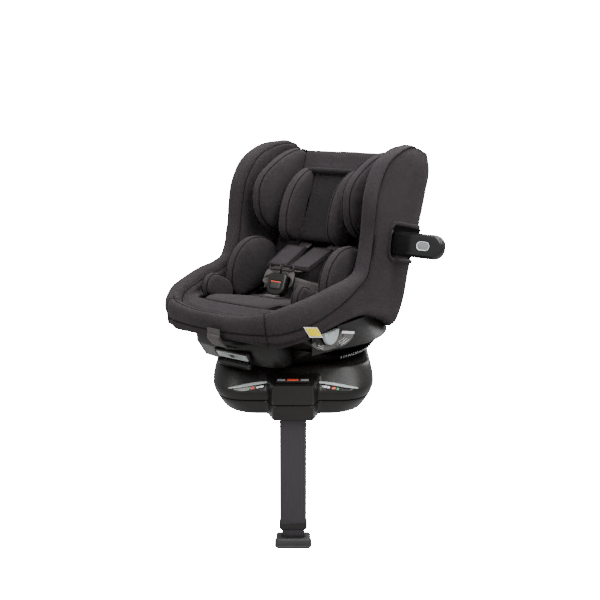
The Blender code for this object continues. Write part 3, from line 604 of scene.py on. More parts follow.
def build_walls():
    """Padded wings, sides and lip in one ring, with its seams, binding and stitches."""
    knots = []
    surface = spline_surface(COVER_ROWS, 0.0045, 0.0045, closed=True, knots=knots)
    rows, columns = surface.shape[:2]
    across = [1 if j < knots[SEAM_ROW] else 0 if j < knots[INNER_ROW + 2] else 2 for j in range(columns)]
    pick = across * (rows - 1) + [0, 0]
    cover = loft("cover_walls_and_lip", surface, [FABRIC, FABRIC_SIDE, LINING], 70.0, pick)

    outer_seam = cover_line(SEAM_ROW)
    inner_seam = cover_line(INNER_ROW)
    crossings = [lip_crossing(-0.142), lip_crossing(0.142)]
    lip_top = [p for p in cover_line(LIP_ROW) if abs(p[0]) < 0.142]
    seams = [outer_seam, inner_seam, lip_top, *crossings]
    sink_seams(cover, seams)
    shadows = [onto(cover, line, 0.0002) for line in seams]
    # Dark cords laid in the seams: painted shade in their grooves.
    cords("cover_seam_shade_lines", shadows, 0.0010, SEAM_SHADE, "seat", "seat_fabric")
    doubled = [[p + Vector((0.0, 0.0, 0.0042)) for p in shadows[0]]]
    stitches("cover_seam_stitches", [onto(cover, line, 0.0001) for line in doubled], "seat",
             "seat_fabric", length=0.0030, pitch=0.0046)

    hem = cover_line(0)
    stretches = [[]]
    for p in hem:
        if in_recess(p, 1) or in_recess(p, -1):
            stretches.append([])
        else:
            stretches[-1].append(p + np.array((0.0, 0.0, 0.001)))
    bindings = [stretch for stretch in stretches if len(stretch) > 3]
    cords("cover_hem_binding", bindings, 0.0026, BINDING, "seat", "seat_fabric", 10)
    tree = surface_tree(cover)

    def outer_surface(point, side):
        """The spot on the wall's outer side level with a point beside it, if there is one."""
        start = Vector((side * 0.40, point.y, point.z))
        spot = tree.ray_cast(start, Vector((-side, 0.0, 0.0)))[0]
        return spot if spot and spot.x * side > 0.19 else None

    for side in (1, -1):
        cut_recess(cover, side)
    settle(cover, "seat", "seat_fabric")
    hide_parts("seat_cover")
    return outer_surface


# ---------------------------------------------------------------- plates cut from an outline
def arc(centre, radius, start, end, steps=10):
    """Points along an arc, angles in degrees."""
    angles = np.radians(np.linspace(start, end, steps + 1))
    return [(centre[0] + radius * math.cos(a), centre[1] + radius * math.sin(a)) for a in angles]


def rounded_outline(half_u, half_v, radius, centre=(0.0, 0.0), steps=6):
    """A rounded rectangle; radius is one number or one for each corner from the upper right."""
    radii = radius if isinstance(radius, (list, tuple)) else [radius] * 4
    points = []
    for corner, (su, sv) in enumerate(((1, 1), (-1, 1), (-1, -1), (1, -1))):
        r = radii[corner]
        middle = (centre[0] + su * (half_u - r), centre[1] + sv * (half_v - r))
        points += arc(middle, r, 90.0 * corner, 90.0 * corner + 90.0, steps)
    return points


def inset_outline(outline, amount):
    """The outline moved inwards; it runs anticlockwise."""
    points = np.asarray(outline, float)
    run = np.roll(points, -1, axis=0) - np.roll(points, 1, axis=0)
    run /= np.maximum(np.linalg.norm(run, axis=1), 1e-9)[:, None]
    return points + np.stack([-run[:, 1], run[:, 0]], axis=1) * amount


def straight_up(x, y, z):
    """Places an outline seen from above."""
    return Vector((x, y, z))


def stacked_rings(outline, levels, place):
    return [[place(u, v, depth) for u, v in inset_outline(outline, inset)] for depth, inset in levels]


def stack(name, outline, levels, place, mats, sharp=40.0):
    """A plate with a shaped edge: each level is a depth and how far its outline steps in."""
    return loft(name, stacked_rings(outline, levels, place), mats, sharp)


def subdivide(obj):
    """One more level of faces, and all waiting modifiers applied."""
    divide = obj.modifiers.new("Divide", "SUBSURF")
    divide.levels = 1
    divide.render_levels = 1
    apply_modifiers(obj)


def boolean(obj, cutter, sharp=50.0):
    """Cuts one object out of another; the cutter goes."""
    cut = obj.modifiers.new("Cut", "BOOLEAN")
    cut.operation = "DIFFERENCE"
    cut.solver = "EXACT"
    cut.object = cutter
    apply_modifiers(obj)
    bpy.data.objects.remove(cutter, do_unlink=True)
    if sharp:
        obj.data.set_sharp_from_angle(angle=math.radians(sharp))


def frame_ring(name, outline, levels, place, mats, sharp=40.0):
    """Like a stack, but the last level joins the first, which leaves the middle open."""
    rings = stacked_rings(outline, levels, place)
    faces = grid_faces(len(rings), len(rings[0]), True, True)
    return new_object(name, [p for level in rings for p in level], faces, mats, sharp)


def rounded_levels(low, high, radius, steps=4):
    """Levels from low to high depth with both edges rounded."""
    turn = [math.radians(90.0 * k / steps) for k in range(steps + 1)]
    start = [(low + radius * (1.0 - math.cos(a)), radius * (1.0 - math.sin(a))) for a in turn]
    end = [(high - radius * (1.0 - math.sin(a)), radius * (1.0 - math.cos(a))) for a in turn]
    return start + end


def join_pieces(name, pieces):
    """Several meshes as one object, with all their materials."""
    bpy.ops.object.select_all(action="DESELECT")
    for piece in pieces:
        piece.select_set(True)
    bpy.context.view_layer.objects.active = pieces[0]
    bpy.ops.object.join()
    pieces[0].name = name
    return pieces[0]


def strap(name, points, across, half_width, thickness, mat):
    """Webbing through points; across is one direction or one for each point."""
    points = np.asarray([tuple(p) for p in points], float)
    sides = np.asarray(across, float)
    if sides.ndim == 1:
        sides = np.tile(sides, (len(points), 1))
    both = spline(np.stack([points, points + sides / np.linalg.norm(sides, axis=1)[:, None]], axis=1),
                  0.004)
    rows = []
    for k, (p, tip) in enumerate(both):
        side = Vector(tip - p).normalized()
        run = Vector(both[min(k + 1, len(both) - 1), 0] - both[max(k - 1, 0), 0]).normalized()
        out = side.cross(run).normalized()
        ring = []
        for u, v in ((-1, 0), (-0.94, -1), (-0.5, -0.8), (0, -0.8), (0.5, -0.8), (0.94, -1), (1, 0),
                     (0.94, 1), (0.5, 0.8), (0, 0.8), (-0.5, 0.8), (-0.94, 1)):
            ring.append(Vector(p) + side * u * half_width + out * v * thickness / 2)
        rows.append(ring)
    return loft(name, rows, mat, 70.0)


def refine(node, mat, edge=0.0, sharp=35.0, segments=2):
    """A CAD node's own shape with smooth shading and, if asked, rounded edges."""
    source = frame["nodes"][node]
    bm = bmesh.new()
    bm.from_mesh(source.data)
    bmesh.ops.remove_doubles(bm, verts=bm.verts, dist=1e-5)
    bmesh.ops.dissolve_limit(bm, angle_limit=math.radians(1.0), verts=bm.verts, edges=bm.edges)
    mesh = bpy.data.meshes.new(node + "_refined")
    bm.to_mesh(mesh)
    bm.free()
    mesh.materials.clear()
    mesh.materials.append(mat)
    for face in mesh.polygons:
        face.material_index = 0
    obj = bpy.data.objects.new(node + "_refined", mesh)
    bpy.context.scene.collection.objects.link(obj)
    if edge:
        bevel = obj.modifiers.new("Bevel", "BEVEL")
        bevel.width = edge
        bevel.segments = segments
        bevel.limit_method = "ANGLE"
        bevel.angle_limit = math.radians(sharp)
        apply_modifiers(obj)
    obj.data.shade_smooth()
    obj.data.set_sharp_from_angle(angle=math.radians(sharp))
    body = next(b for b, nodes in BODIES.items() if node in nodes)
    settle(obj, body, SLOTS[node], turned=False)
    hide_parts(node)
    return obj


# ---------------------------------------------------------------- side pods
POD_LEAN = math.acos((SEAT_TURN.inverted() @ Vector(JOINTS["pod_left_hinge"]["axis"])).z)
POD_LENGTH = 0.140
POD_HEIGHT = 0.058
POD_DEPTH = 0.024
POD_HINGE_GAP = 0.004
RECESS_MIDDLE = 0.0048      # height above the pin: there is more room above the pod than below
RECESS_NOSE = -0.0230
RECESS_FLOOR = -0.0222
POD_RECESS_END = 0.150
PAST_THE_COVER = 0.30       # an opening this long runs out of the rear of the cover


def pod_frame(label):
    """Where a point sits: depth outwards, along towards the rear, height, from the pod's pin."""
    pin = SEAT_TURN.inverted() @ Vector(JOINTS[f"pod_{label}_hinge"]["pos_m"])
    side = 1 if pin.x > 0 else -1

    def place(along, height, depth):
        y = pin.y + along * math.cos(POD_LEAN) + height * math.sin(POD_LEAN)
        z = pin.z - along * math.sin(POD_LEAN) + height * math.cos(POD_LEAN)
        return Vector((pin.x + side * depth, y, z))
    return place, side


def nose_outline(half, middle, front, rear, radius=0.026):
    """An opening with rounded front corners that is open to the rear."""
    nose = arc((front + radius, middle + half - radius), radius, 90.0, 180.0, 10)
    nose += arc((front + radius, middle - half + radius), radius, 180.0, 270.0, 10)
    return nose + [(rear, middle - half), (rear, middle + half)]


def recess_outline(grow=0.0, rear=PAST_THE_COVER):
    """The cut-out for the pod, reaching a little further above it than below."""
    return nose_outline(POD_HEIGHT / 2 + 0.0125 + grow, RECESS_MIDDLE, RECESS_NOSE - grow, rear)


def in_recess(point, side):
    """Whether a point of the cover's edge is inside the recess."""
    place, _ = pod_frame(side_label(side))
    origin = place(0.0, 0.0, 0.0)
    offset = Vector(point) - origin
    along = offset.dot(place(1.0, 0.0, 0.0) - origin)
    height = offset.dot(place(0.0, 1.0, 0.0) - origin)
    return (point[0] * side > 0.1 and RECESS_NOSE - 0.001 < along < POD_RECESS_END
            and abs(height - RECESS_MIDDLE) < 0.045)


def cut_recess(cover, side, rear=PAST_THE_COVER):
    """Cuts the opening for a pod."""
    place, _ = pod_frame(side_label(side))
    levels = [(0.060, 0.0), (RECESS_FLOOR - 0.0003, 0.0)]
    cutter = stack("recess_cutter", recess_outline(0.0, rear), levels, place, BLACK)
    boolean(cover, cutter)


def build_recess_trim(cover_surface, label):
    """The black housing inside the recess and the padded binding round its edge."""
    place, side = pod_frame(label)
    floor = stack("pod_housing_" + label, recess_outline(-0.0004, POD_RECESS_END - 0.001),
                  [(RECESS_FLOOR, 0.0), (-0.0190, 0.0), (-0.0190, 0.0020), (RECESS_FLOOR, 0.0025)],
                  place, RECESS)
    outer = recess_outline(-0.0004, 0.110)
    inner = nose_outline(POD_HEIGHT / 2 + 0.0008, 0.0, -0.0150, 0.110)
    end = POD_RECESS_END - 0.0012
    low_end = 0.100
    outer = [(end, outer[0][1])] + outer[:-2] + [(low_end, outer[-3][1])]
    inner = [(end, inner[0][1])] + inner[:-2] + [(low_end, inner[-3][1])]
    rings = [[place(*near, RECESS_FLOOR), place(*near, 0.0020), place(*far, -0.0030),
              place(*far, RECESS_FLOOR)] for near, far in zip(outer, inner)]
    wall = loft("pod_housing_wall_" + label, rings, RECESS)
    settle(join_pieces("pod_housing_" + label, [floor, wall]), "seat", "black_plastic")

    rim = recess_outline(0.0030, 0.0)[:-2]
    edge = [(u, rim[0][1]) for u in np.linspace(0.140, 0.010, 14)] + rim
    edge += [(u, rim[-1][1]) for u in np.linspace(0.010, 0.140, 14)]
    line = []
    for u, v in edge:
        spot = cover_surface(place(u, v, 0.02), side)
        if spot:
            line.append(tuple(spot))
    path = spline(line, 0.005)
    cords("pod_recess_binding_" + label, [path], 0.0054, FABRIC_SIDE, "seat", "seat_fabric", 12)


def build_pod(label):
    """The fold-out capsule with its oval release button in a pale rim."""
    frame_place, _ = pod_frame(label)
    deployed = label == "left"

    def place(along, height, depth):
        if deployed:
            return frame_place(-depth, height, along)
        return frame_place(along, height, depth)

    body = f"pod_{label}"
    half_v = POD_HEIGHT / 2
    centre = POD_HINGE_GAP + POD_LENGTH / 2
    outline = rounded_outline(POD_LENGTH / 2, half_v, [0.026, 0.010, 0.010, 0.026], (centre, 0.0), 10)
    shell = stack("pod_shell_" + label, outline, rounded_levels(-POD_DEPTH / 2, POD_DEPTH / 2, 0.0075, 6),
                  place, GLOSS, 50.0)
    spot = (POD_HINGE_GAP + POD_LENGTH - 0.051, 0.0)
    groove = rounded_outline(0.0175, 0.0112, 0.0108, spot, 8)
    cutter = stack("button_well", groove, [(POD_DEPTH / 2 - 0.0070, 0.0), (POD_DEPTH / 2 + 0.01, 0.0)],
                   place, GLOSS)
    boolean(shell, cutter)
    seam = [place(u, v, 0.0) for u, v in inset_outline(outline, -0.00005)]
    settle(shell, body, "gloss_black")
    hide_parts(f"side_pod_{label}")
    cords("pod_parting_line_" + label, [seam], 0.0006, BLACK_FINE, body, "gloss_black", 5, True)
    ring_outer = rounded_outline(0.0170, 0.0107, 0.0103, spot, 8)
    top = POD_DEPTH / 2
    rim = frame_ring("pod_button_rim_" + label, ring_outer,
                     [(top - 0.0048, 0.0), (top - 0.0003, 0.0), (top + 0.0002, 0.0006),
                      (top - 0.0001, 0.0016), (top - 0.0010, 0.0022), (top - 0.0048, 0.0022)],
                     place, PALE)
    settle(rim, body, "silver_plastic")
    button = stack("pod_button_face_" + label, rounded_outline(0.0142, 0.0079, 0.0075, spot, 8),
                   rounded_levels(top - 0.0045, top - 0.0002, 0.0012), place, GREY)
    settle(button, f"pod_press_{label}", "silver_plastic")
    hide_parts(f"pod_button_{label}")
    refine(f"pod_pin_{label}", DARK_STEEL, 0.0006)


# ---------------------------------------------------------------- stuffed pads
PADS = []       # pads waiting to be swelled, with what happens to each afterwards
SWELL_FRAMES = 20
CLOTH_SETTINGS = {"use_pressure": True, "uniform_pressure_force": 4.0, "quality": 4, "mass": 0.25,
                  "tension_stiffness": 12.0, "compression_stiffness": 12.0, "shear_stiffness": 6.0,
                  "bending_stiffness": 0.4, "vertex_group_mass": "seams", "pin_stiffness": 0.6}


def pad(name, outline, place, thickness, node, body="seat", mat=None, cap=0.007, fill=0.7,
        seams=(0.5,), seam_inset=0.004, voxel=0.005):
    """A stuffed pad from its outline; seams are given as parts of its half thickness.
    It starts smaller than its finished size, because the cloth swells."""
    shrink = 0.6 * cap
    half = thickness / 2 - shrink
    start = inset_outline(outline, shrink)
    levels = [(-half, 0.45 * half), (-0.55 * half, 0.08 * half), (0.55 * half, 0.08 * half),
              (half, 0.45 * half)]
    obj = stack(name, start, levels, place, mat or FABRIC, 80.0)
    lines = []
    for seam in seams:
        inset = inset_outline(outline, seam_inset)
        lines.append([place(u, v, seam * thickness / 2) for u, v in inset])
    PADS.append({"obj": obj, "node": node, "body": body, "cap": cap, "fill": fill, "lines": lines,
                 "piping": 0.0013, "voxel": voxel})


def swell_pads():
    """Runs one cloth simulation for all the pads, then finishes each."""
    scene = bpy.context.scene
    for entry in PADS:
        obj = entry["obj"]
        remesh = obj.modifiers.new("Remesh", "REMESH")
        remesh.mode = "VOXEL"
        remesh.voxel_size = entry["voxel"]
        apply_modifiers(obj)
        entry["start"] = coordinates(obj)
        gap = nearest_distance(entry["start"], [spline([tuple(p) for p in line], 0.004, True)
                                                for line in entry["lines"]] or [[(9.0, 9.0, 9.0)]])
        pins = obj.vertex_groups.new(name="seams")
        for index, distance in enumerate(gap):
            if distance < 0.006:
                pins.add([index], 0.75, "REPLACE")
        cloth = obj.modifiers.new("Cloth", "CLOTH")
        for setting, value in CLOTH_SETTINGS.items():
            setattr(cloth.settings, setting, value)
        cloth.settings.effector_weights.gravity = 0.0
        cloth.collision_settings.use_collision = False
        cloth.point_cache.frame_start = 1
        cloth.point_cache.frame_end = SWELL_FRAMES
    for number in range(1, SWELL_FRAMES + 1):
        scene.frame_set(number)
    graph = bpy.context.evaluated_depsgraph_get()
    for entry in PADS:
        swollen = coordinates(entry["obj"].evaluated_get(graph))
        move = swollen - entry["start"]
        length = np.linalg.norm(move, axis=1)
        move *= (np.minimum(length, entry["cap"]) / np.maximum(length, 1e-9))[:, None]
        entry["end"] = entry["start"] + move
    for entry in PADS:
        entry["obj"].modifiers.clear()
        set_coordinates(entry["obj"], entry["end"])
    scene.frame_set(1)
    for entry in PADS:
        finish_pad(entry)


def finish_pad(entry):
    """Smooths and subdivides a pad, sinks its seams, pipes them and puts it on the frame."""
    obj = entry["obj"]
    name = obj.name
    smooth = obj.modifiers.new("Smooth", "CORRECTIVE_SMOOTH")
    smooth.iterations = 6
    smooth.use_only_smooth = True
    subdivide(obj)
    obj.data.shade_smooth()
    lines = [onto(obj, spline([tuple(p) for p in line], 0.004, True)) for line in entry["lines"]]
    if lines:
        sink_seams(obj, lines, 0.0014, 0.006, 0.0006)
        lines = [onto(obj, line, 0.0003) for line in lines]
        # The piping cord is real in shape; its near-black colour is the painted seam shade.
        cords(name + "_piping", lines, entry["piping"], SEAM_SHADE, entry["body"], "seat_fabric", 7, True)
    settle(obj, entry["body"], "padding")
    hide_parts(entry["node"])


# ---------------------------------------------------------------- seat and back lining
def thick_sheet(name, rows, thickness, mat, sharp=60.0):
    """A closed sheet over a grid of points, thickened behind them."""
    grid = np.asarray(rows, float)
    across = np.gradient(grid, axis=1)
    along = np.gradient(grid, axis=0)
    out = np.cross(along, across)
    out /= np.linalg.norm(out, axis=2)[:, :, None]
    behind = grid - out * thickness
    closed = np.concatenate([grid, behind[:, ::-1]], axis=1)
    return loft(name, closed, mat, sharp)


def build_lining():
    """The cover over the pan and the backrest, between the padded walls."""
    half_rows = COVER_ROWS[SIDE_ROW + 2:]
    rows = []
    for profile in half_rows:
        join = Vector(profile[9])
        reach = join.x + 0.010
        rows.append([(x, join.y, join.z) for x in np.linspace(reach, -reach, 9)])
    surface = spline_surface(rows, 0.012, 0.010)
    lining = thick_sheet("cover_seat_and_back", surface, 0.012, LINING)
    settle(lining, "seat", "seat_fabric")
    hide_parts("seat_cover")


# ---------------------------------------------------------------- headrest and pillow
def upright(x):
    """Places a side-on outline against the backrest: out from it, up along it, and across."""
    def place(out, up, across):
        return back(x + across, up, out)
    return place


def flat_on_back(out):
    """Places a front-on outline against the backrest: across, up, and out from it."""
    def place(across, up, depth):
        return back(across, up, out + depth)
    return place


def build_headrest():
    """The headrest's two lobes and middle, and the infant pillow inside it."""
    lobe = spline([(0.024, 0.112), (0.070, 0.102), (0.118, 0.102), (0.158, 0.122), (0.184, 0.156),
                   (0.193, 0.194), (0.184, 0.228), (0.160, 0.262), (0.126, 0.300), (0.086, 0.332),
                   (0.048, 0.350), (0.022, 0.346), (0.017, 0.235)], 0.006, True)
    for side, label in SIDES:
        pad("headrest_lobe_" + label, lobe, upright(side * 0.1350), 0.046, "headrest_pad", "headrest",
            cap=0.006, seams=(-0.62 * side, 0.62 * side), seam_inset=0.0015, fill=0.8)
    middle = rounded_outline(0.124, 0.114, 0.014, (0.0, 0.242))
    pad("headrest_centre", middle, flat_on_back(0.029), 0.030, "headrest_pad", "headrest", seams=(),
        cap=0.005)

    pillow_lobe = spline([(0.052, 0.086), (0.088, 0.080), (0.116, 0.092), (0.133, 0.126), (0.139, 0.174),
                          (0.133, 0.212), (0.119, 0.243), (0.096, 0.272), (0.068, 0.291), (0.052, 0.288),
                          (0.050, 0.190)], 0.006, True)
    for side, label in SIDES:
        pad("pillow_lobe_" + label, pillow_lobe, upright(side * 0.0730), 0.044, "head_pillow", "headrest",
            cap=0.005, seams=(-0.55 * side,), seam_inset=0.002, fill=0.75)
    panel = rounded_outline(0.064, 0.098, 0.016, (0.0, 0.184))
    # The middle panel and the brow take the darker knit, which is painted shade.
    pad("pillow_centre", panel, flat_on_back(0.057), 0.016, "head_pillow", "headrest", PILLOW_KNIT_SHADED,
        seams=(), cap=0.004)
    brow = rounded_outline(0.082, 0.0120, 0.010, (0.0, 0.2790))
    pad("pillow_brow", brow, flat_on_back(0.068), 0.030, "head_pillow", "headrest", PILLOW_KNIT_SHADED,
        seams=(), cap=0.004)


def build_body_pads():
    """The bolsters beside the body and the small ones beside the legs."""
    bolster = spline([(0.182, -0.093), (0.207, -0.052), (0.212, -0.010), (0.197, 0.034), (0.165, 0.066),
                      (0.120, 0.084), (0.075, 0.086), (0.042, 0.074), (0.028, 0.040), (0.032, -0.005),
                      (0.066, -0.044)], 0.006, True)
    ear = spline([(-0.044, -0.022), (0.000, -0.034), (0.040, -0.034), (0.054, -0.012), (0.042, 0.018),
                  (0.006, 0.034), (-0.034, 0.032), (-0.050, 0.006)], 0.005, True)
    tilt = math.radians(-16.0)
    for side, label in SIDES:
        pad("body_bolster_pad_" + label, bolster, upright(side * 0.1400), 0.046, f"body_bolster_{label}",
            seams=(-0.60 * side, 0.60 * side), seam_inset=0.002, cap=0.007, fill=0.8)

        def ear_place(along, height, across, side=side):
            y = -0.142 + along * math.cos(tilt) - height * math.sin(tilt)
            z = 0.2650 + along * math.sin(tilt) + height * math.cos(tilt)
            return Vector((side * (0.128 - 0.12 * along) + across, y, z))
        pad("leg_bolster_pad_" + label, ear, ear_place, 0.036, f"leg_bolster_{label}",
            seams=(-0.6 * side, 0.6 * side), seam_inset=0.0012, cap=0.006, fill=0.75, voxel=0.004)


# Middle line of the insert cushion: y and z along the pan, then up the backrest.
INSERT_PATH = spline([(0.0, -0.240, 0.2530), (0.0, -0.203, 0.2545), (0.0, -0.165, 0.2465),
                      (0.0, -0.080, 0.2280), (0.0, -0.010, 0.2190), (0.0, 0.040, 0.2210),
                      (0.0, 0.074, 0.2360), back(0.0, 0.030, 0.0150), back(0.0, 0.096, 0.0150)], 0.008)


def on_route(route, along, across, lift):
    """A point beside a route: part of the route's length, across it, and above it."""
    spot = min(max(along, 0.0), 1.0) * (len(route) - 1)
    k = min(int(spot), len(route) - 2)
    p = Vector(route[k]).lerp(Vector(route[k + 1]), spot - k)
    run = Vector(route[k + 1] - route[k]).normalized()
    normal = Vector((1.0, 0.0, 0.0)).cross(run).normalized()
    return p + Vector((across, 0.0, 0.0)) + normal * lift


def insert_point(along, across, lift):
    return on_route(INSERT_PATH, along, across, lift)


def build_insert():
    """The infant insert: one quilted cushion that runs from the lip up the backrest."""
    rings = []
    for along in np.linspace(0.0, 1.0, 60):
        close = min(along, 1.0 - along)
        ease = min(1.0, math.sqrt(max(close, 0.0) / 0.05))
        half = 0.100 - 0.014 * (1.0 - ease)
        thick = 0.0030 + 0.0050 * ease
        section = rounded_outline(half, thick, thick * 0.8, (0.0, 0.0), 4)
        rings.append([insert_point(along, u, v) for u, v in section])
    obj = loft("insert_cushion", rings, LINING, 80.0)
    edge = [insert_point(a, 0.098, 0.002) for a in np.linspace(0.02, 0.98, 70)]
    edge += [insert_point(0.99, u, 0.002) for u in np.linspace(0.09, -0.09, 24)]
    edge += [insert_point(a, -0.098, 0.002) for a in np.linspace(0.98, 0.02, 70)]
    edge += [insert_point(0.01, u, 0.002) for u in np.linspace(-0.09, 0.09, 24)]
    PADS.append({"obj": obj, "node": "seat_insert", "body": "seat", "cap": 0.006, "fill": 0.6,
                 "lines": [edge], "piping": 0.0016, "voxel": 0.0055})


# ---------------------------------------------------------------- harness
BUCKLE_CENTRE = seat_middle("buckle_body")
BUCKLE_TURN = Matrix.Rotation(math.radians(-24.0), 3, "X")


def on_buckle(across, up, out):
    """A point of the seat's frame, up along the buckle and out from its face."""
    return BUCKLE_CENTRE + BUCKLE_TURN @ Vector((across, -out, up))


def build_harness():
    for side, label in SIDES:
        route = [back(side * 0.044, 0.092, 0.036), back(side * 0.042, 0.078, 0.052),
                 (side * 0.040, 0.078, 0.3360), (side * 0.034, 0.035, 0.3170),
                 (side * 0.027, -0.020, 0.3020), (side * 0.0215, -0.040, 0.3030)]
        belt = strap("shoulder_belt_" + label, route, (1, 0, 0), 0.0175, 0.0024, WEBBING)
        settle(belt, "seat", "webbing")
        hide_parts(f"shoulder_strap_{label}")
        lap = [(side * 0.106, 0.032, 0.2460), (side * 0.094, 0.008, 0.2530),
               (side * 0.066, -0.024, 0.2640), (side * 0.036, -0.048, 0.2760)]
        belt = strap("lap_belt_" + label, lap, (0.0, 0.35, 0.94), 0.0150, 0.0024, WEBBING)
        settle(belt, "seat", "webbing")
        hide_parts(f"lap_strap_{label}")
        fold = [(side * 0.010, -0.0475, 0.3020), (side * 0.026, -0.0520, 0.3010),
                (side * 0.041, -0.0590, 0.2930), (side * 0.043, -0.0640, 0.2830),
                (side * 0.032, -0.0600, 0.2750)]
        belt = strap("belt_fold_" + label, fold, (0.0, 0.55, 0.83), 0.0100, 0.0022, WEBBING)
        settle(belt, "seat", "webbing")
        build_shoulder_pad(side, label)
        build_tongue(side, label)
    build_buckle()
    build_crotch_pad()


def build_shoulder_pad(side, label):
    """A soft sleeve round the shoulder belt with a bound edge."""
    route = spline([(side * 0.0410, 0.0780, 0.3420), (side * 0.0370, 0.0320, 0.3215),
                    (side * 0.0325, -0.0290, 0.3050)], 0.004)

    def place(along, across, lift):
        return on_route(route, along, across, -lift)

    half = 0.0305
    outline = rounded_outline(0.5, half, 0.014, (0.5, 0.0), 6)
    stretched = [(0.02 + 0.96 * u, v) for u, v in outline]
    rings = []
    for lift, inset in ((-0.0062, 0.0030), (-0.0045, 0.0008), (0.0, 0.0), (0.0045, 0.0008),
                        (0.0062, 0.0030)):
        rings.append([place(0.5 + (u - 0.5) * (1.0 - inset * 16), v * (1.0 - inset / half), lift)
                      for u, v in stretched])
    count = len(rings[0])
    verts = [p for ring in rings for p in ring]
    faces = grid_faces(len(rings), count, False, True)
    for ring, lift in ((0, -0.0066), (len(rings) - 1, 0.0070)):
        inner = []
        for u, v in stretched:
            inner.append(place(0.5 + (u - 0.5) * 0.75, v * 0.72, lift))
        start = len(verts)
        verts += inner
        base = ring * count
        faces += [(base + j, base + (j + 1) % count, start + (j + 1) % count, start + j)
                  for j in range(count)]
        faces.append(tuple(range(start, start + count)))
    sleeve = new_object("shoulder_sleeve_" + label, verts, faces, FABRIC, 80.0)
    subdivide(sleeve)
    rim = onto(sleeve, [tuple(place(0.5 + (u - 0.5) * 0.93, v * 0.93, 0.0058)) for u, v in stretched],
               0.0002)
    thread = onto(sleeve, [tuple(place(0.5 + (u - 0.5) * 0.84, v * 0.80, 0.0068)) for u, v in stretched],
                  0.0002)
    cords("shoulder_sleeve_binding_" + label, [rim], 0.0014, BINDING, "seat", "seat_fabric", 8, True)
    stitches("shoulder_sleeve_stitches_" + label, [thread], "seat", "seat_fabric")
    settle(sleeve, "seat", "padding")
    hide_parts(f"shoulder_pad_{label}")


def build_tongue(side, label):
    """A steel tongue with a moulded loop that the belts run through."""
    def place(u, v, depth):
        return on_buckle(side * (0.0130 + u), 0.0375 + v, depth)

    blade = stack("tongue_blade_" + label, rounded_outline(0.0096, 0.0088, 0.0020),
                  rounded_levels(-0.0015, 0.0015, 0.0005), place, DARK_STEEL)
    settle(blade, "seat", "steel")
    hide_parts(f"buckle_tongue_{label}")
    outer = rounded_outline(0.0160, 0.0060, 0.0045, (0.0060, 0.0060), 6)
    cords("tongue_loop_" + label, [[place(u, v, 0.0005) for u, v in outer]], 0.0024, BLACK, "seat",
          "steel", 10, True)


def build_buckle():
    """Rounded buckle with a framed press button and a red line across it."""
    outline = rounded_outline(0.0268, 0.0278, [0.010, 0.010, 0.020, 0.020], (0.0, 0.0), 8)
    body = stack("buckle_case", outline, rounded_levels(-0.0108, 0.0108, 0.0050, 5), on_buckle,
                 BLACK_FINE, 50.0)
    well = rounded_outline(0.0152, 0.0100, 0.0030, (0.0, -0.002), 5)
    cutter = stack("well_cutter", well, [(0.0060, 0.0), (0.02, 0.0)], on_buckle, BLACK)
    boolean(body, cutter)
    settle(body, "seat", "black_plastic")
    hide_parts("buckle_body")
    face = rounded_outline(0.0144, 0.0092, 0.0026, (0.0, -0.002), 5)
    button = stack("buckle_press_button", face, rounded_levels(0.0076, 0.0118, 0.0012), on_buckle,
                   GREY_DARK)
    settle(button, "buckle_press", "red_plastic")
    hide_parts("buckle_button")
    line = stack("buckle_red_line", rounded_outline(0.0138, 0.0012, 0.0008, (0.0, 0.0058), 3),
                 [(0.0112, 0.0), (0.0120, 0.0), (0.0123, 0.0004)], on_buckle, RED)
    settle(line, "buckle_press", "red_plastic")
    frame_line = [on_buckle(u, v, 0.0107)
                  for u, v in rounded_outline(0.0162, 0.0112, 0.0036, (0.0, -0.002), 5)]
    cords("buckle_well_frame", [frame_line], 0.0008, BLACK, "seat", "black_plastic", 6, True)


def build_crotch_pad():
    """The bound pad under the buckle and the strap that carries it."""
    tilt = Matrix.Rotation(math.radians(-12.5), 3, "X")

    def place(u, v, depth):
        return Vector((0.0, -0.104, 0.2456)) + tilt @ Vector((u, v, depth))

    outline = rounded_outline(0.0330, 0.0285, [0.006, 0.006, 0.012, 0.012], (0.0, 0.0), 6)
    obj = stack("crotch_cushion", outline, rounded_levels(-0.0042, 0.0042, 0.0036, 4), place, LINING,
                80.0)
    thread = [place(u, v, 0.0043) for u, v in inset_outline(outline, 0.0058)]
    stitches("crotch_stitches", [thread], "seat", "padding")
    edge = [place(u, v, 0.0016) for u, v in inset_outline(outline, 0.0004)]
    cords("crotch_piping", [edge], 0.0016, BINDING, "seat", "padding", 8, True)
    settle(obj, "seat", "padding")
    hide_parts("crotch_pad")
    route = [(0.0, -0.106, 0.2500), (0.0, -0.098, 0.2500), (0.0, -0.088, 0.2490), (0.0, -0.078, 0.2480)]
    belt = strap("crotch_strap", route, (1, 0, 0), 0.0170, 0.0022, WEBBING)
    settle(belt, "seat", "webbing")


# ---------------------------------------------------------------- seat shell, fairing and handle
RECLINE_CENTRE = (0.0, JOINTS["seat_recline"]["pos_m"][2])
RECLINE_RADIUS = 0.400
TURN_BUTTON_RADIUS = 0.030


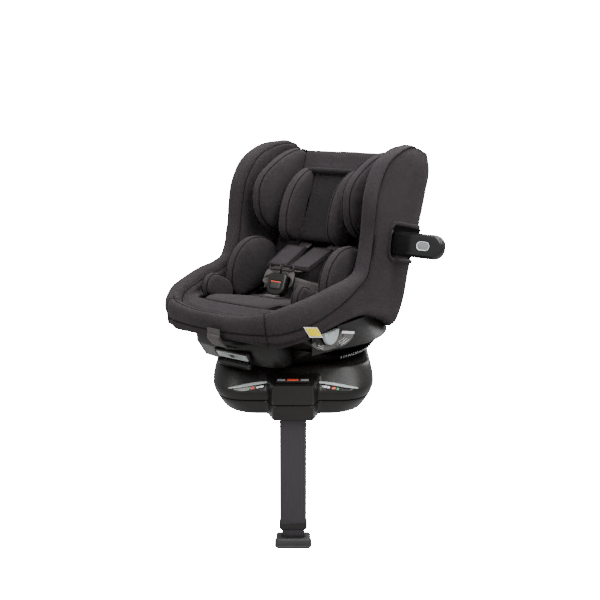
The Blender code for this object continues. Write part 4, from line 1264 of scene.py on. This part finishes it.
def shell_section(x, hem, rim, floor, limit):
    """The shell's outer side at one station, from under the cover's side to the middle."""
    hem = Vector(hem)
    floor = Vector(floor)
    up = (Vector(rim) - hem).normalized()
    rise = (floor - hem).dot(up)
    top = max(rise - 0.020, -0.020) - 0.002
    start = hem - Vector(RECLINE_CENTRE)
    drop = start.dot(up)
    drop += math.sqrt(max(drop * drop - start.length_squared + RECLINE_RADIUS ** 2, 0.0))
    drop = min(drop, limit)
    side = x - 0.024
    offset = floor - (hem + up * rise)
    shoulder = top - 0.35 * (top + drop)
    belly = 0.30 * shoulder - 0.70 * drop
    points = []
    for across, along, pull in (
            (side, top, 0.7), (side - 0.001, shoulder, 0.0), (side - 0.014, belly, 0.0),
            (side - 0.040, -0.94 * drop, 0.0), (side * 0.45, -drop, 0.0), (0.0, -drop, 0.0)):
        p = hem + up * along + offset * pull
        points.append((across, p.x, p.y))
    return points


def turn_button_centre(side):
    node = "rotation_button_" + side_label(side)
    centre = seat_middle(node)
    centre.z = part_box(node)[0].z + TURN_BUTTON_RADIUS
    return centre


def cut_button_hole(obj, side):
    """Room for a turn button to be pressed in."""
    centre = turn_button_centre(side)
    cutter = stack("button_hole_cutter", arc((0.0, 0.0), TURN_BUTTON_RADIUS + 0.0004, 0.0, 352.5, 47),
                   [(-0.020, 0.0), (0.030, 0.0)],
                   lambda u, v, depth: Vector((centre.x + depth, centre.y + u, centre.z + v)), BLACK)
    boolean(obj, cutter)


def build_shell():
    """The moulded bowl under the cover and up its back."""
    rows = []
    for k, (x, hem, rim, join, _) in enumerate(COVER_STATIONS):
        if k < 4:
            continue
        limit = 0.2 if k < 11 else 0.028
        half = shell_section(x, hem, rim, (join[1], join[2]), limit)
        rows.append(half + [(-p[0], p[1], p[2]) for p in half[-2::-1]])
    surface = spline_surface(rows, 0.008, 0.006)
    shell = thick_sheet("seat_shell_moulding", surface, 0.0035, BLACK, 40.0)
    tree = surface_tree(shell)
    for side in (1, -1):
        cut_recess(shell, side, POD_RECESS_END)
        cut_button_hole(shell, side)
    settle(shell, "seat", "black_plastic")
    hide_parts("seat_shell")
    return tree


def shell_spot(tree, side, y, z, lift=0.0):
    """A point on the shell's flank, found from beside it."""
    hit, normal, _, _ = tree.ray_cast(Vector((side * 0.40, y, z)), Vector((-side, 0.0, 0.0)))
    if hit is None:
        hit, normal, _, _ = tree.find_nearest(Vector((side * 0.20, y, z)))
    if normal.x * side < 0:
        normal = -normal
    return hit + normal * lift


def build_flank(tree, side, label):
    """Turn button, its dished surround, the plain fan-shaped panel and its white bar."""
    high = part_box(f"rotation_button_{label}")[1]
    centre = turn_button_centre(side)
    radius = TURN_BUTTON_RADIUS

    def on_button(u, v, depth):
        return Vector((centre.x + side * depth, centre.y + u, centre.z + v))

    disc = stack("turn_button_face_" + label, arc((0.0, 0.0), radius - 0.0004, 0.0, 352.5, 47),
                 [(-0.004, 0.0), (0.0026, 0.0), (0.0036, 0.0006), (0.0041, 0.0018), (0.0036, 0.0060),
                  (0.0030, 0.0120)], on_button, GREY_BUTTON, 50.0)
    trimmed = coordinates(disc)
    low_top = (SEAT_TURN.inverted() @ high).z - 0.0004
    trimmed[:, 2] = np.minimum(trimmed[:, 2], low_top)
    set_coordinates(disc, trimmed)
    settle(disc, f"turn_button_{label}", "silver_plastic")
    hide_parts(f"rotation_button_{label}")

    def on_flank(angle, distance, lift):
        a = math.radians(angle)
        stretch = 2.1 if math.cos(a) > 0.0 else 1.5
        return skirt_spot(tree, side, centre.y + stretch * distance * math.cos(a),
                          centre.z + distance * math.sin(a), lift)

    # Dished ring round the button, as a raised lip on the shell.
    lip = []
    for angle in np.linspace(180.0, 360.0, 40):
        a = math.radians(angle)
        lip.append(skirt_spot(tree, side, centre.y + (radius + 0.017) * math.cos(a),
                              centre.z + (radius + 0.017) * math.sin(a), 0.0010))
    cords("turn_button_surround_" + label, [lip], 0.0016, BLACK, "seat", "black_plastic", 10)

    inner, outer = 0.0345, 0.0440
    rows = []
    for part in np.linspace(0.0, 1.0, 8):
        row = []
        for a in np.linspace(205.0, 338.0, 50):
            near = inner - 0.016 * (a - 205.0) / 133.0
            row.append(tuple(on_flank(a, near + (outer - near) * part, 0.0016)))
        rows.append(row)
    sheet = thick_sheet("panel_face_" + label, rows if side > 0 else rows[::-1], 0.0010, PANEL_GREY, 60.0)
    settle(sheet, "seat", "black_plastic")
    border = [Vector(p) for p in rows[0]] + [Vector(row[-1]) for row in rows[1:-1]]
    border += [Vector(p) for p in rows[-1][::-1]] + [Vector(row[0]) for row in rows[-2:0:-1]]
    cords("panel_border_" + label, [border], 0.0013, BLACK, "seat", "black_plastic", 8, True)
    bar = [tuple(on_flank(335.0, d, 0.0030)) for d in np.linspace(0.0215, 0.0425, 14)]
    white = strap("panel_bar_" + label, bar, (0.0, 0.30, 0.95), 0.0030, 0.0012, WHITE_BAR)
    settle(white, "seat", "silver_plastic")
    # Plain raised marks in place of the printed instructions.
    marks = []
    for row, part in enumerate((0.30, 0.52, 0.74)):
        for start in (222.0 + 2.0 * row, 292.0):
            spots = np.linspace(start, start + 22.0, 12)
            marks.append([on_flank(a, 0.026 + (outer - 0.026) * part, 0.0022) for a in spots])
    cords("panel_marks_" + label, marks, 0.0005, PALE, "seat", "silver_plastic", 5)


SKIRT_LOW = 0.1530          # just above the carriage's rim
SKIRT_HIGH = 0.2050
SKIRT_RADIUS = 0.2325       # the rim's own radius


def skirt_spot(tree, side, y, z, lift=0.0):
    """A point on the flared skirt that carries the shell's flank down to the carriage's rim."""
    hem = float(np.interp(y, [row[1][0] for row in COVER_STATIONS[1:10]],
                          [row[1][1] for row in COVER_STATIONS[1:10]]))
    top = min(SKIRT_HIGH, hem - 0.003)
    start = abs(shell_spot(tree, side, y, SKIRT_HIGH).x) + 0.0006
    rim = max(start + 0.0006, math.sqrt(max(SKIRT_RADIUS ** 2 - y * y, 0.0)))
    share = min(1.0, max(0.0, (top - z) / (top - SKIRT_LOW)))
    x = start + (rim - start) * share ** 1.3
    return Vector((side * (x + lift), y, max(z, SKIRT_LOW)))


def build_skirt(tree, side, label):
    """The flared skirt under the shell's flank, with its button hole."""
    rows = []
    for y in np.linspace(-0.190, 0.112, 60):
        rows.append([tuple(skirt_spot(tree, side, y, z)) for z in np.linspace(SKIRT_LOW, SKIRT_HIGH, 16)])
    skirt = thick_sheet("shell_skirt_" + label, rows if side < 0 else rows[::-1], 0.0012, BLACK, 50.0)
    cut_button_hole(skirt, side)
    settle(skirt, "seat", "black_plastic")


FACE_TOP = Vector((0.0, -0.2635, 0.152))
FACE_RUN = Vector((0.0, 0.0275, -0.0365)).normalized()
FACE_OUT = Vector((0.0, FACE_RUN.z, -FACE_RUN.y))
HANDLE_X = seat_middle("handle_plate").x


def on_face(across, up, out):
    """A point on the fairing's sloping face; up is measured from its upper edge."""
    return FACE_TOP - FACE_RUN * up + FACE_OUT * out + Vector((HANDLE_X + across, 0.0, 0.0))


def build_front():
    """Fairing with its bezel, the silver adjuster plate and the recline handle."""
    refine("front_fairing", BLACK, 0.003, 30.0, 3)
    bezel = rounded_outline(0.0500, 0.0145, 0.0050, (0.0, -0.0125), 5)
    rim = stack("adjuster_bezel", bezel,
                [(-0.0030, 0.0), (0.0030, 0.0), (0.0042, 0.0010), (0.0042, 0.0032), (0.0006, 0.0040)],
                on_face, BLACK_FINE)
    settle(rim, "seat", "black_plastic")
    plate = stack("adjuster_plate", rounded_outline(0.0435, 0.0098, 0.0030, (0.0, -0.0120), 5),
                  [(0.0004, 0.0), (0.0040, 0.0), (0.0050, 0.0008)], on_face, SILVER)
    notch = stack("notch_cutter", rounded_outline(0.0078, 0.0048, 0.0045, (0.0, -0.0120), 8),
                  [(-0.0010, 0.0), (0.02, 0.0)], on_face, BLACK)
    boolean(plate, notch, None)
    settle(plate, "seat", "silver_plastic")
    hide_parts("handle_plate")
    button = stack("adjuster_press_button", rounded_outline(0.0068, 0.0038, 0.0034, (0.0, -0.0120), 6),
                   rounded_levels(0.0022, 0.0062, 0.0014), on_face, GLOSS)
    settle(button, "adjuster_button", "gloss_black")
    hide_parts("harness_adjuster_button")
    grip = stack("recline_grip", rounded_outline(0.0480, 0.0080, 0.0050, (0.0, -0.0335), 6),
                 rounded_levels(0.0015, 0.0155, 0.0045, 4), on_face, BLACK_FINE)
    settle(grip, "handle", "black_plastic")
    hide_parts("recline_handle")
    ridge = [[on_face(u, -0.0335 + v, 0.0156) for u in np.linspace(-0.040, 0.040, 20)]
             for v in (-0.0030, 0.0, 0.0030)]
    cords("recline_grip_ridges", ridge, 0.0006, BLACK, "handle", "black_plastic", 6)


def build_straps_on_cover(outer_surface):
    """Adjuster strap over the lip and the elastic loops."""
    x = seat_middle("adjuster_strap").x
    route = [(x, -0.3400, 0.2240), (x, -0.3385, 0.2080), (x, -0.3310, 0.1920), (x, -0.3190, 0.1810),
             (x, -0.3020, 0.1735), (x, -0.2700, 0.1660)]
    belt = strap("adjuster_webbing", route, (1, 0, 0), 0.0180, 0.0022, WEBBING)
    settle(belt, "seat", "webbing")
    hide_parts("adjuster_strap")
    fold = [(x, -0.3405, 0.2120), (x, -0.3420, 0.2060), (x, -0.3370, 0.1965), (x, -0.3280, 0.1880)]
    belt = strap("adjuster_webbing_fold", fold, (1, 0, 0), 0.0176, 0.0020, WEBBING)
    settle(belt, "seat", "webbing")
    for side, label in SIDES:
        line = []
        for t in np.linspace(0.0, 1.0, 7):
            y = 0.020 - 0.014 * t
            z = 0.402 - 0.057 * t
            spot = outer_surface(Vector((side * 0.22, y, z)), side)
            line.append(spot + Vector((side * (0.0006 + 0.0042 * math.sin(math.pi * t)), 0.0, 0.0)))
        loop = strap("elastic_" + label, line, (0.0, 1.0, 0.0), 0.0035, 0.0016, BINDING)
        settle(loop, "seat", "webbing")
        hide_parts(f"elastic_loop_{label}")


def build_tag(outer_surface):
    """A plain two-tone care tag sewn into the seam of the near side."""
    top = outer_surface(Vector((0.22, -0.222, 0.228)), 1)

    def tag_rows(drops, across, out, sunk):
        """The slanted grid of the tag: how far down, how far along the seam, and out from it."""
        rows = []
        for t in drops:
            swing = Vector((out + 0.0080 * t, 0.012 * t, -0.025 * t))
            rows.append([tuple(top + swing + Vector((sunk + 0.26 * u, u, -0.20 * u))) for u in across])
        return rows

    rows = tag_rows(np.linspace(0.0, 1.0, 8), np.linspace(-0.014, 0.024, 7), 0.0025, -0.0016)
    border = thick_sheet("care_tag", rows, 0.0008, WHITE, 60.0)
    settle(border, "seat", "seat_fabric")
    inner = tag_rows(np.linspace(0.10, 0.86, 8), np.linspace(-0.0115, 0.0215, 7), 0.0034, -0.0010)
    face = thick_sheet("care_tag_face", inner, 0.0005, YELLOW, 60.0)
    settle(face, "seat", "seat_fabric")


# ---------------------------------------------------------------- base
BASE_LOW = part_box("base_lower_shell")[0]
BASE_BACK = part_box("base_upper_shell")[1].y
HUB_FRONT = BASE_LOW.y
HUB_HALF = 0.054
HUB_TOP = 0.090
CORNER = 0.075
CORNER_STEPS = 14
FRONT_STEPS = 57
FALL_START = 0.060
FALL_SLOPE = 0.95
WELL_RADIUS = 0.168
WELL_FLOOR = 0.070
# Half width of the base at each height, widest a third of the way up.
BASE_FLARE = ((0.0, 0.157), (0.006, 0.1635), (0.020, 0.172), (0.036, 0.181), (0.048, 0.1865),
              (0.060, 0.190), (0.078, 0.1895), (0.095, 0.186), (0.104, 0.182), (0.108, 0.178))


def base_half(z):
    """Half the base's width at a height."""
    return float(np.interp(z, [row[0] for row in BASE_FLARE], [row[1] for row in BASE_FLARE]))


def front_fall(z):
    """How far the front has leaned back at a height."""
    return max(0.0, z - FALL_START) * FALL_SLOPE


def base_ring(z, inset):
    """The base's outline at one height, with the hub blended into its front."""
    half = base_half(z) - inset
    long_half = BASE_BACK - 0.012 * (1.0 - min(z, 0.03) / 0.03) - inset
    outline = rounded_outline(half, long_half, CORNER, (0.0, 0.0), CORNER_STEPS)
    front = [(x, -long_half) for x in np.linspace(-(half - CORNER), half - CORNER, FRONT_STEPS)[1:-1]]
    corners = 3 * (CORNER_STEPS + 1)
    points = outline[:corners] + front + outline[corners:]
    fall = front_fall(z)
    reach = -HUB_FRONT - inset
    fade = min(1.0, max(0.0, (HUB_TOP - z) / 0.006))
    ring = []
    for x, y in points:
        y += fall * max(0.0, -y / long_half)
        if y < 0.0:
            span = (abs(x) - (HUB_HALF - 0.012)) / 0.020
            share = 0.5 + 0.5 * math.cos(math.pi * min(1.0, max(0.0, span)))
            y -= max(0.0, reach + y) * share * math.sqrt(fade)
        ring.append((x, y, z))
    return ring


def build_base():
    """Lower and upper shell with the shadow gap between them and the blended hub."""
    low = [(0.0, 0.004), (0.0015, 0.0012), (0.004, 0.0), (0.012, 0.0), (0.020, 0.0), (0.028, 0.0),
           (0.0335, 0.0), (0.0352, 0.0006), (0.0358, 0.0022), (0.0358, 0.010)]
    lower = loft("base_lower_moulding", [base_ring(z, inset) for z, inset in low], BLACK, 50.0)
    cut_leg_slot(lower)
    for side in (1, -1):
        cut_block(lower, (0.034, 0.120, 0.030), (side * 0.140, BASE_BACK - 0.03, 0.028))
    settle(lower, "base", "black_plastic", turned=False)
    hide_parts("base_lower_shell")

    high = [(0.0372, 0.010), (0.0372, 0.0022), (0.0378, 0.0006), (0.0394, 0.0), (0.048, 0.0),
            (0.056, 0.0), (0.064, 0.0), (0.072, 0.0), (0.080, 0.0), (0.084, 0.0), (0.0865, 0.0),
            (0.0885, 0.0), (0.0898, 0.0), (0.0902, 0.0), (0.094, 0.0), (0.099, 0.0), (0.104, 0.0),
            (0.1065, 0.0012), (0.1078, 0.0040), (0.1078, 0.0080)]
    upper = loft("base_upper_moulding", [base_ring(z, inset) for z, inset in high], BLACK, 50.0)
    well = stack("well_cutter", arc((0.0, 0.0), WELL_RADIUS, 0.0, 357.0, 119),
                 [(WELL_FLOOR, 0.0), (0.2, 0.0)], straight_up, BLACK)
    boolean(upper, well)
    for side in (1, -1):
        cut_block(upper, (0.034, 0.120, 0.030), (side * 0.140, BASE_BACK - 0.03, 0.028))
        build_crescent(upper, side, side_label(side))
    cut_block(upper, (0.0660, 0.060, 0.030), (0.0, HUB_FRONT + 0.036, 0.050))
    cut_leg_slot(upper)
    cut_block(lower, (0.0660, 0.060, 0.060), (0.0, HUB_FRONT + 0.036, 0.0300 - 0.032))
    settle(upper, "base", "black_plastic", turned=False)
    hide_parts("base_upper_shell")
    build_indicator()


def cut_leg_slot(obj):
    """The slot that the folded leg and its foot lie in."""
    cut_block(obj, (0.072, 0.320, 0.106), (0.0, -0.256 + 0.160, 0.0))
    cut_block(obj, (0.100, 0.170, 0.126), (0.0, 0.150 - 0.085, 0.0))


def cut_block(obj, size, centre):
    """Cuts a block out of a piece of the base."""
    outline = rounded_outline(size[0] / 2, size[1] / 2, 0.002, (centre[0], centre[1]), 3)
    cutter = stack("block_cutter", outline,
                   [(centre[2] - size[2] / 2, 0.0), (centre[2] + size[2] / 2, 0.0)],
                   straight_up, BLACK)
    boolean(obj, cutter)


def front_face(x, z):
    """The y of the base's front at a place on it."""
    corner = max(0.0, abs(x) - (base_half(z) - CORNER))
    y = -BASE_BACK + CORNER - math.sqrt(max(0.0, CORNER ** 2 - corner ** 2))
    return y + front_fall(z) * (-y / BASE_BACK)


def build_crescent(upper, side, label):
    """A recessed status panel under a slim silver strip that rises towards the hub."""
    inner, outer = 0.0600, 0.1440
    spots = np.linspace(0.0, 1.0, 25)

    def strip_height(t):
        return 0.0762 - 0.0125 * t ** 1.4

    def place(x, z, depth):
        return Vector((x, front_face(x, z) - depth, z))

    top = [(side * (inner + (outer - inner) * t), strip_height(t)) for t in spots]
    bottom = [(side * (inner + 0.004 + (outer - inner - 0.004) * t),
               strip_height(t) - 0.0135 * math.sin(math.pi * min(1.0, 0.16 + 0.84 * t)) ** 0.8)
              for t in spots[:-1]]
    outline = bottom + top[::-1] if side > 0 else bottom[::-1] + top
    cutter = stack("panel_cutter", outline, [(-0.0035, 0.0), (0.02, 0.0)], place, BLACK)
    boolean(upper, cutter)
    panel = stack("status_panel_" + label, outline,
                  [(-0.0036, 0.0002), (-0.0020, 0.0002), (-0.0017, 0.0008)], place, GLOSS)
    settle(panel, "base", "gloss_black", turned=False)
    rows = []
    for t in spots:
        x = side * (inner + (outer - inner + 0.006) * t)
        z = strip_height(t)
        half = 0.0006 + 0.0022 * math.sin(math.pi * min(1.0, 0.12 + 0.88 * t)) ** 0.7
        ring = []
        for a in np.linspace(0.0, 2.0 * math.pi, 11)[:-1]:
            lift = 0.0010 + 0.0022 * math.cos(a)
            ring.append((x, front_face(x, z + half * math.sin(a)) - max(lift, -0.0006),
                         z + half * math.sin(a)))
        rows.append(ring)
    strip = loft("silver_strip_" + label, rows, SILVER, 60.0)
    settle(strip, "base", "silver_plastic", turned=False)
    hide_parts(f"crescent_trim_{label}")
    for k, (along, width, mats, slot) in enumerate(((0.15, 0.0060, PALE, "silver_plastic"),
                                                    (0.26, 0.0030, PALE, "silver_plastic"),
                                                    (0.40, 0.0045, RED, "red_plastic"),
                                                    (0.51, 0.0026, GREEN, "silver_plastic"))):
        x = side * (inner + (outer - inner) * along)
        z = strip_height(along) - 0.0078
        mark = rounded_outline(width, 0.0018, 0.0016, (x, z), 4)
        lamp = stack(f"status_lamp_{label}_{k}", mark,
                     [(-0.0022, 0.0), (-0.0010, 0.0), (-0.0006, 0.0005)], place, mats)
        settle(lamp, "base", slot, turned=False)


def build_indicator():
    """Grey, red and grey windows along the top edge of the hub."""
    low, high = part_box("leg_indicator")

    def place(x, y, depth):
        return Vector((x, y, high.z - 0.0030 + depth))

    middle = (low.y + high.y) / 2
    tray = stack("indicator_tray", rounded_outline(0.038, 0.0058, 0.0020, (0.0, middle), 4),
                 [(-0.0016, 0.0), (0.0012, 0.0), (0.0018, 0.0006)], place, BLACK_FINE)
    settle(tray, "base", "black_plastic", turned=False)
    for k, (x, half, mats, slot) in enumerate(((-0.0265, 0.0092, GREY, "silver_plastic"),
                                               (0.0, 0.0135, RED, "red_plastic"),
                                               (0.0265, 0.0092, GREY, "silver_plastic"))):
        window = stack(f"indicator_window_{k}", rounded_outline(half, 0.0042, 0.0014, (x, middle), 4),
                       [(0.0010, 0.0), (0.0024, 0.0), (0.0030, 0.0006)], place, mats)
        settle(window, "base", slot, turned=False)
        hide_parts("leg_indicator")


# ---------------------------------------------------------------- load leg
def build_leg():
    """Rounded box tubes with a collar, the foot and its sole."""
    low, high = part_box("leg_outer_tube")
    middle = (low.y + high.y) / 2

    def place(x, y, depth):
        return Vector((x, middle + y, depth))

    refine("leg_outer_tube", TUBE, 0.0, 35.0)
    collar = stack("leg_collar", rounded_outline(0.0340, 0.0178, 0.0080, steps=6),
                   [(-0.0065, 0.0022), (-0.0050, 0.0004), (-0.0035, 0.0), (0.0035, 0.0)], place,
                   BLACK_FINE)
    hole = stack("collar_cutter", rounded_outline(0.0314, 0.0154, 0.0064, steps=6),
                 [(-0.02, 0.0), (0.02, 0.0)], place, BLACK)
    boolean(collar, hole)
    settle(collar, "base", "black_plastic", turned=False)
    sleeve = stack("leg_end_sleeve", rounded_outline(0.0326, 0.0166, 0.0072, steps=6),
                   [(low.z - 0.0012, 0.0022), (low.z + 0.0006, 0.0006), (low.z + 0.0025, 0.0),
                    (low.z + 0.0150, 0.0), (low.z + 0.0165, 0.0012)], place, BLACK_FINE)
    hole = stack("sleeve_cutter", rounded_outline(0.0270, 0.0116, 0.0036, steps=6),
                 [(low.z - 0.02, 0.0), (low.z + 0.02, 0.0)], place, BLACK)
    boolean(sleeve, hole)
    inner = stack("sleeve_cutter", rounded_outline(0.0308, 0.0148, 0.0060, steps=6),
                  [(low.z + 0.0006, 0.0), (low.z + 0.03, 0.0)], place, BLACK)
    boolean(sleeve, inner)
    settle(sleeve, "leg_upper", "black_plastic", turned=False)
    refine("leg_inner_tube", TUBE, 0.0, 35.0)
    refine("leg_pivot_pin", STEEL, 0.0008)
    refine("leg_height_button", GREY, 0.0)
    build_foot(place)


def build_foot(place):
    """The foot with the socket for the inner tube, and its sole."""
    low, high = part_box("leg_foot")
    half = (high.x - low.x) / 2
    deep = (high.y - low.y) / 2
    foot = stack("foot_moulding", rounded_outline(half, deep, 0.010, steps=8),
                 [(low.z, 0.0006), (low.z + 0.0006, 0.0), (low.z + 0.0022, 0.0), (low.z + 0.0030, 0.0006),
                  (low.z + 0.0036, 0.0024), (low.z + 0.0065, 0.0028), (low.z + 0.0150, 0.0030),
                  (high.z - 0.0034, 0.0038), (high.z - 0.0012, 0.0048), (high.z, 0.0066)], place, RUBBER,
                  50.0)
    hole = stack("foot_cutter", rounded_outline(0.0269, 0.0114, 0.0036, steps=6),
                 [(high.z - 0.0104, 0.0), (high.z + 0.02, 0.0)], place, RUBBER)
    boolean(foot, hole)
    settle(foot, "leg_lower", "rubber", turned=False)
    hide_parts("leg_foot")
    sole_low, sole_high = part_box("leg_foot_sole")
    sole = stack("foot_sole", rounded_outline(half - 0.0015, deep - 0.0015, 0.010, steps=8),
                 [(sole_low.z, 0.0008), (sole_low.z + 0.0008, 0.0), (sole_high.z, 0.0)], place, RUBBER)
    settle(sole, "leg_lower", "rubber", turned=False)
    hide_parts("leg_foot_sole")


# ---------------------------------------------------------------- carriage and anchor arms
def build_carriage():
    """The turning bowl, its rim of teeth on the near side, and what it turns on."""
    refine("swivel_carriage", BLACK, 0.0012, 30.0)
    refine("swivel_spindle", STEEL, 0.0010)
    refine("turntable_ring", STEEL, 0.0006)
    low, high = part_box("swivel_carriage")
    radius = (high.x - low.x) / 2
    teeth = []
    for angle in np.linspace(-20.0, 30.0, 23):
        a = math.radians(angle)
        z = high.z - 0.030
        start = Vector(((radius - 0.0360) * math.cos(a), (radius - 0.0360) * math.sin(a), z - 0.0045))
        end = Vector(((radius - 0.0330) * math.cos(a), (radius - 0.0330) * math.sin(a), z + 0.0020))
        teeth.append([start, end])
    cords("turn_scale_teeth", teeth, 0.0009, PALE, "carriage", "black_plastic", 6)


def build_isofix():
    """The two anchor arms and the bar between them."""
    for label in ("left", "right"):
        refine(f"isofix_arm_{label}", STEEL, 0.0)
        refine(f"isofix_connector_{label}", BLACK, 0.0)
        refine(f"isofix_hook_{label}", STEEL, 0.0)
        refine(f"isofix_release_{label}", RED, 0.0)
    refine("isofix_crossbar", STEEL, 0.0012)


build_stage()
build_camera()
outer_surface = build_walls()
build_lining()
for pod_label in ("left", "right"):
    build_recess_trim(outer_surface, pod_label)
    build_pod(pod_label)
build_straps_on_cover(outer_surface)
build_tag(outer_surface)
build_headrest()
build_body_pads()
build_insert()
swell_pads()
build_harness()
refine("headrest_shell", BLACK, 0.0)
refine("headrest_lever", BLACK, 0.0)
shell_tree = build_shell()
for flank, flank_label in SIDES:
    build_skirt(shell_tree, flank, flank_label)
    build_flank(shell_tree, flank, flank_label)
build_front()
build_base()
build_leg()
build_carriage()
build_isofix()
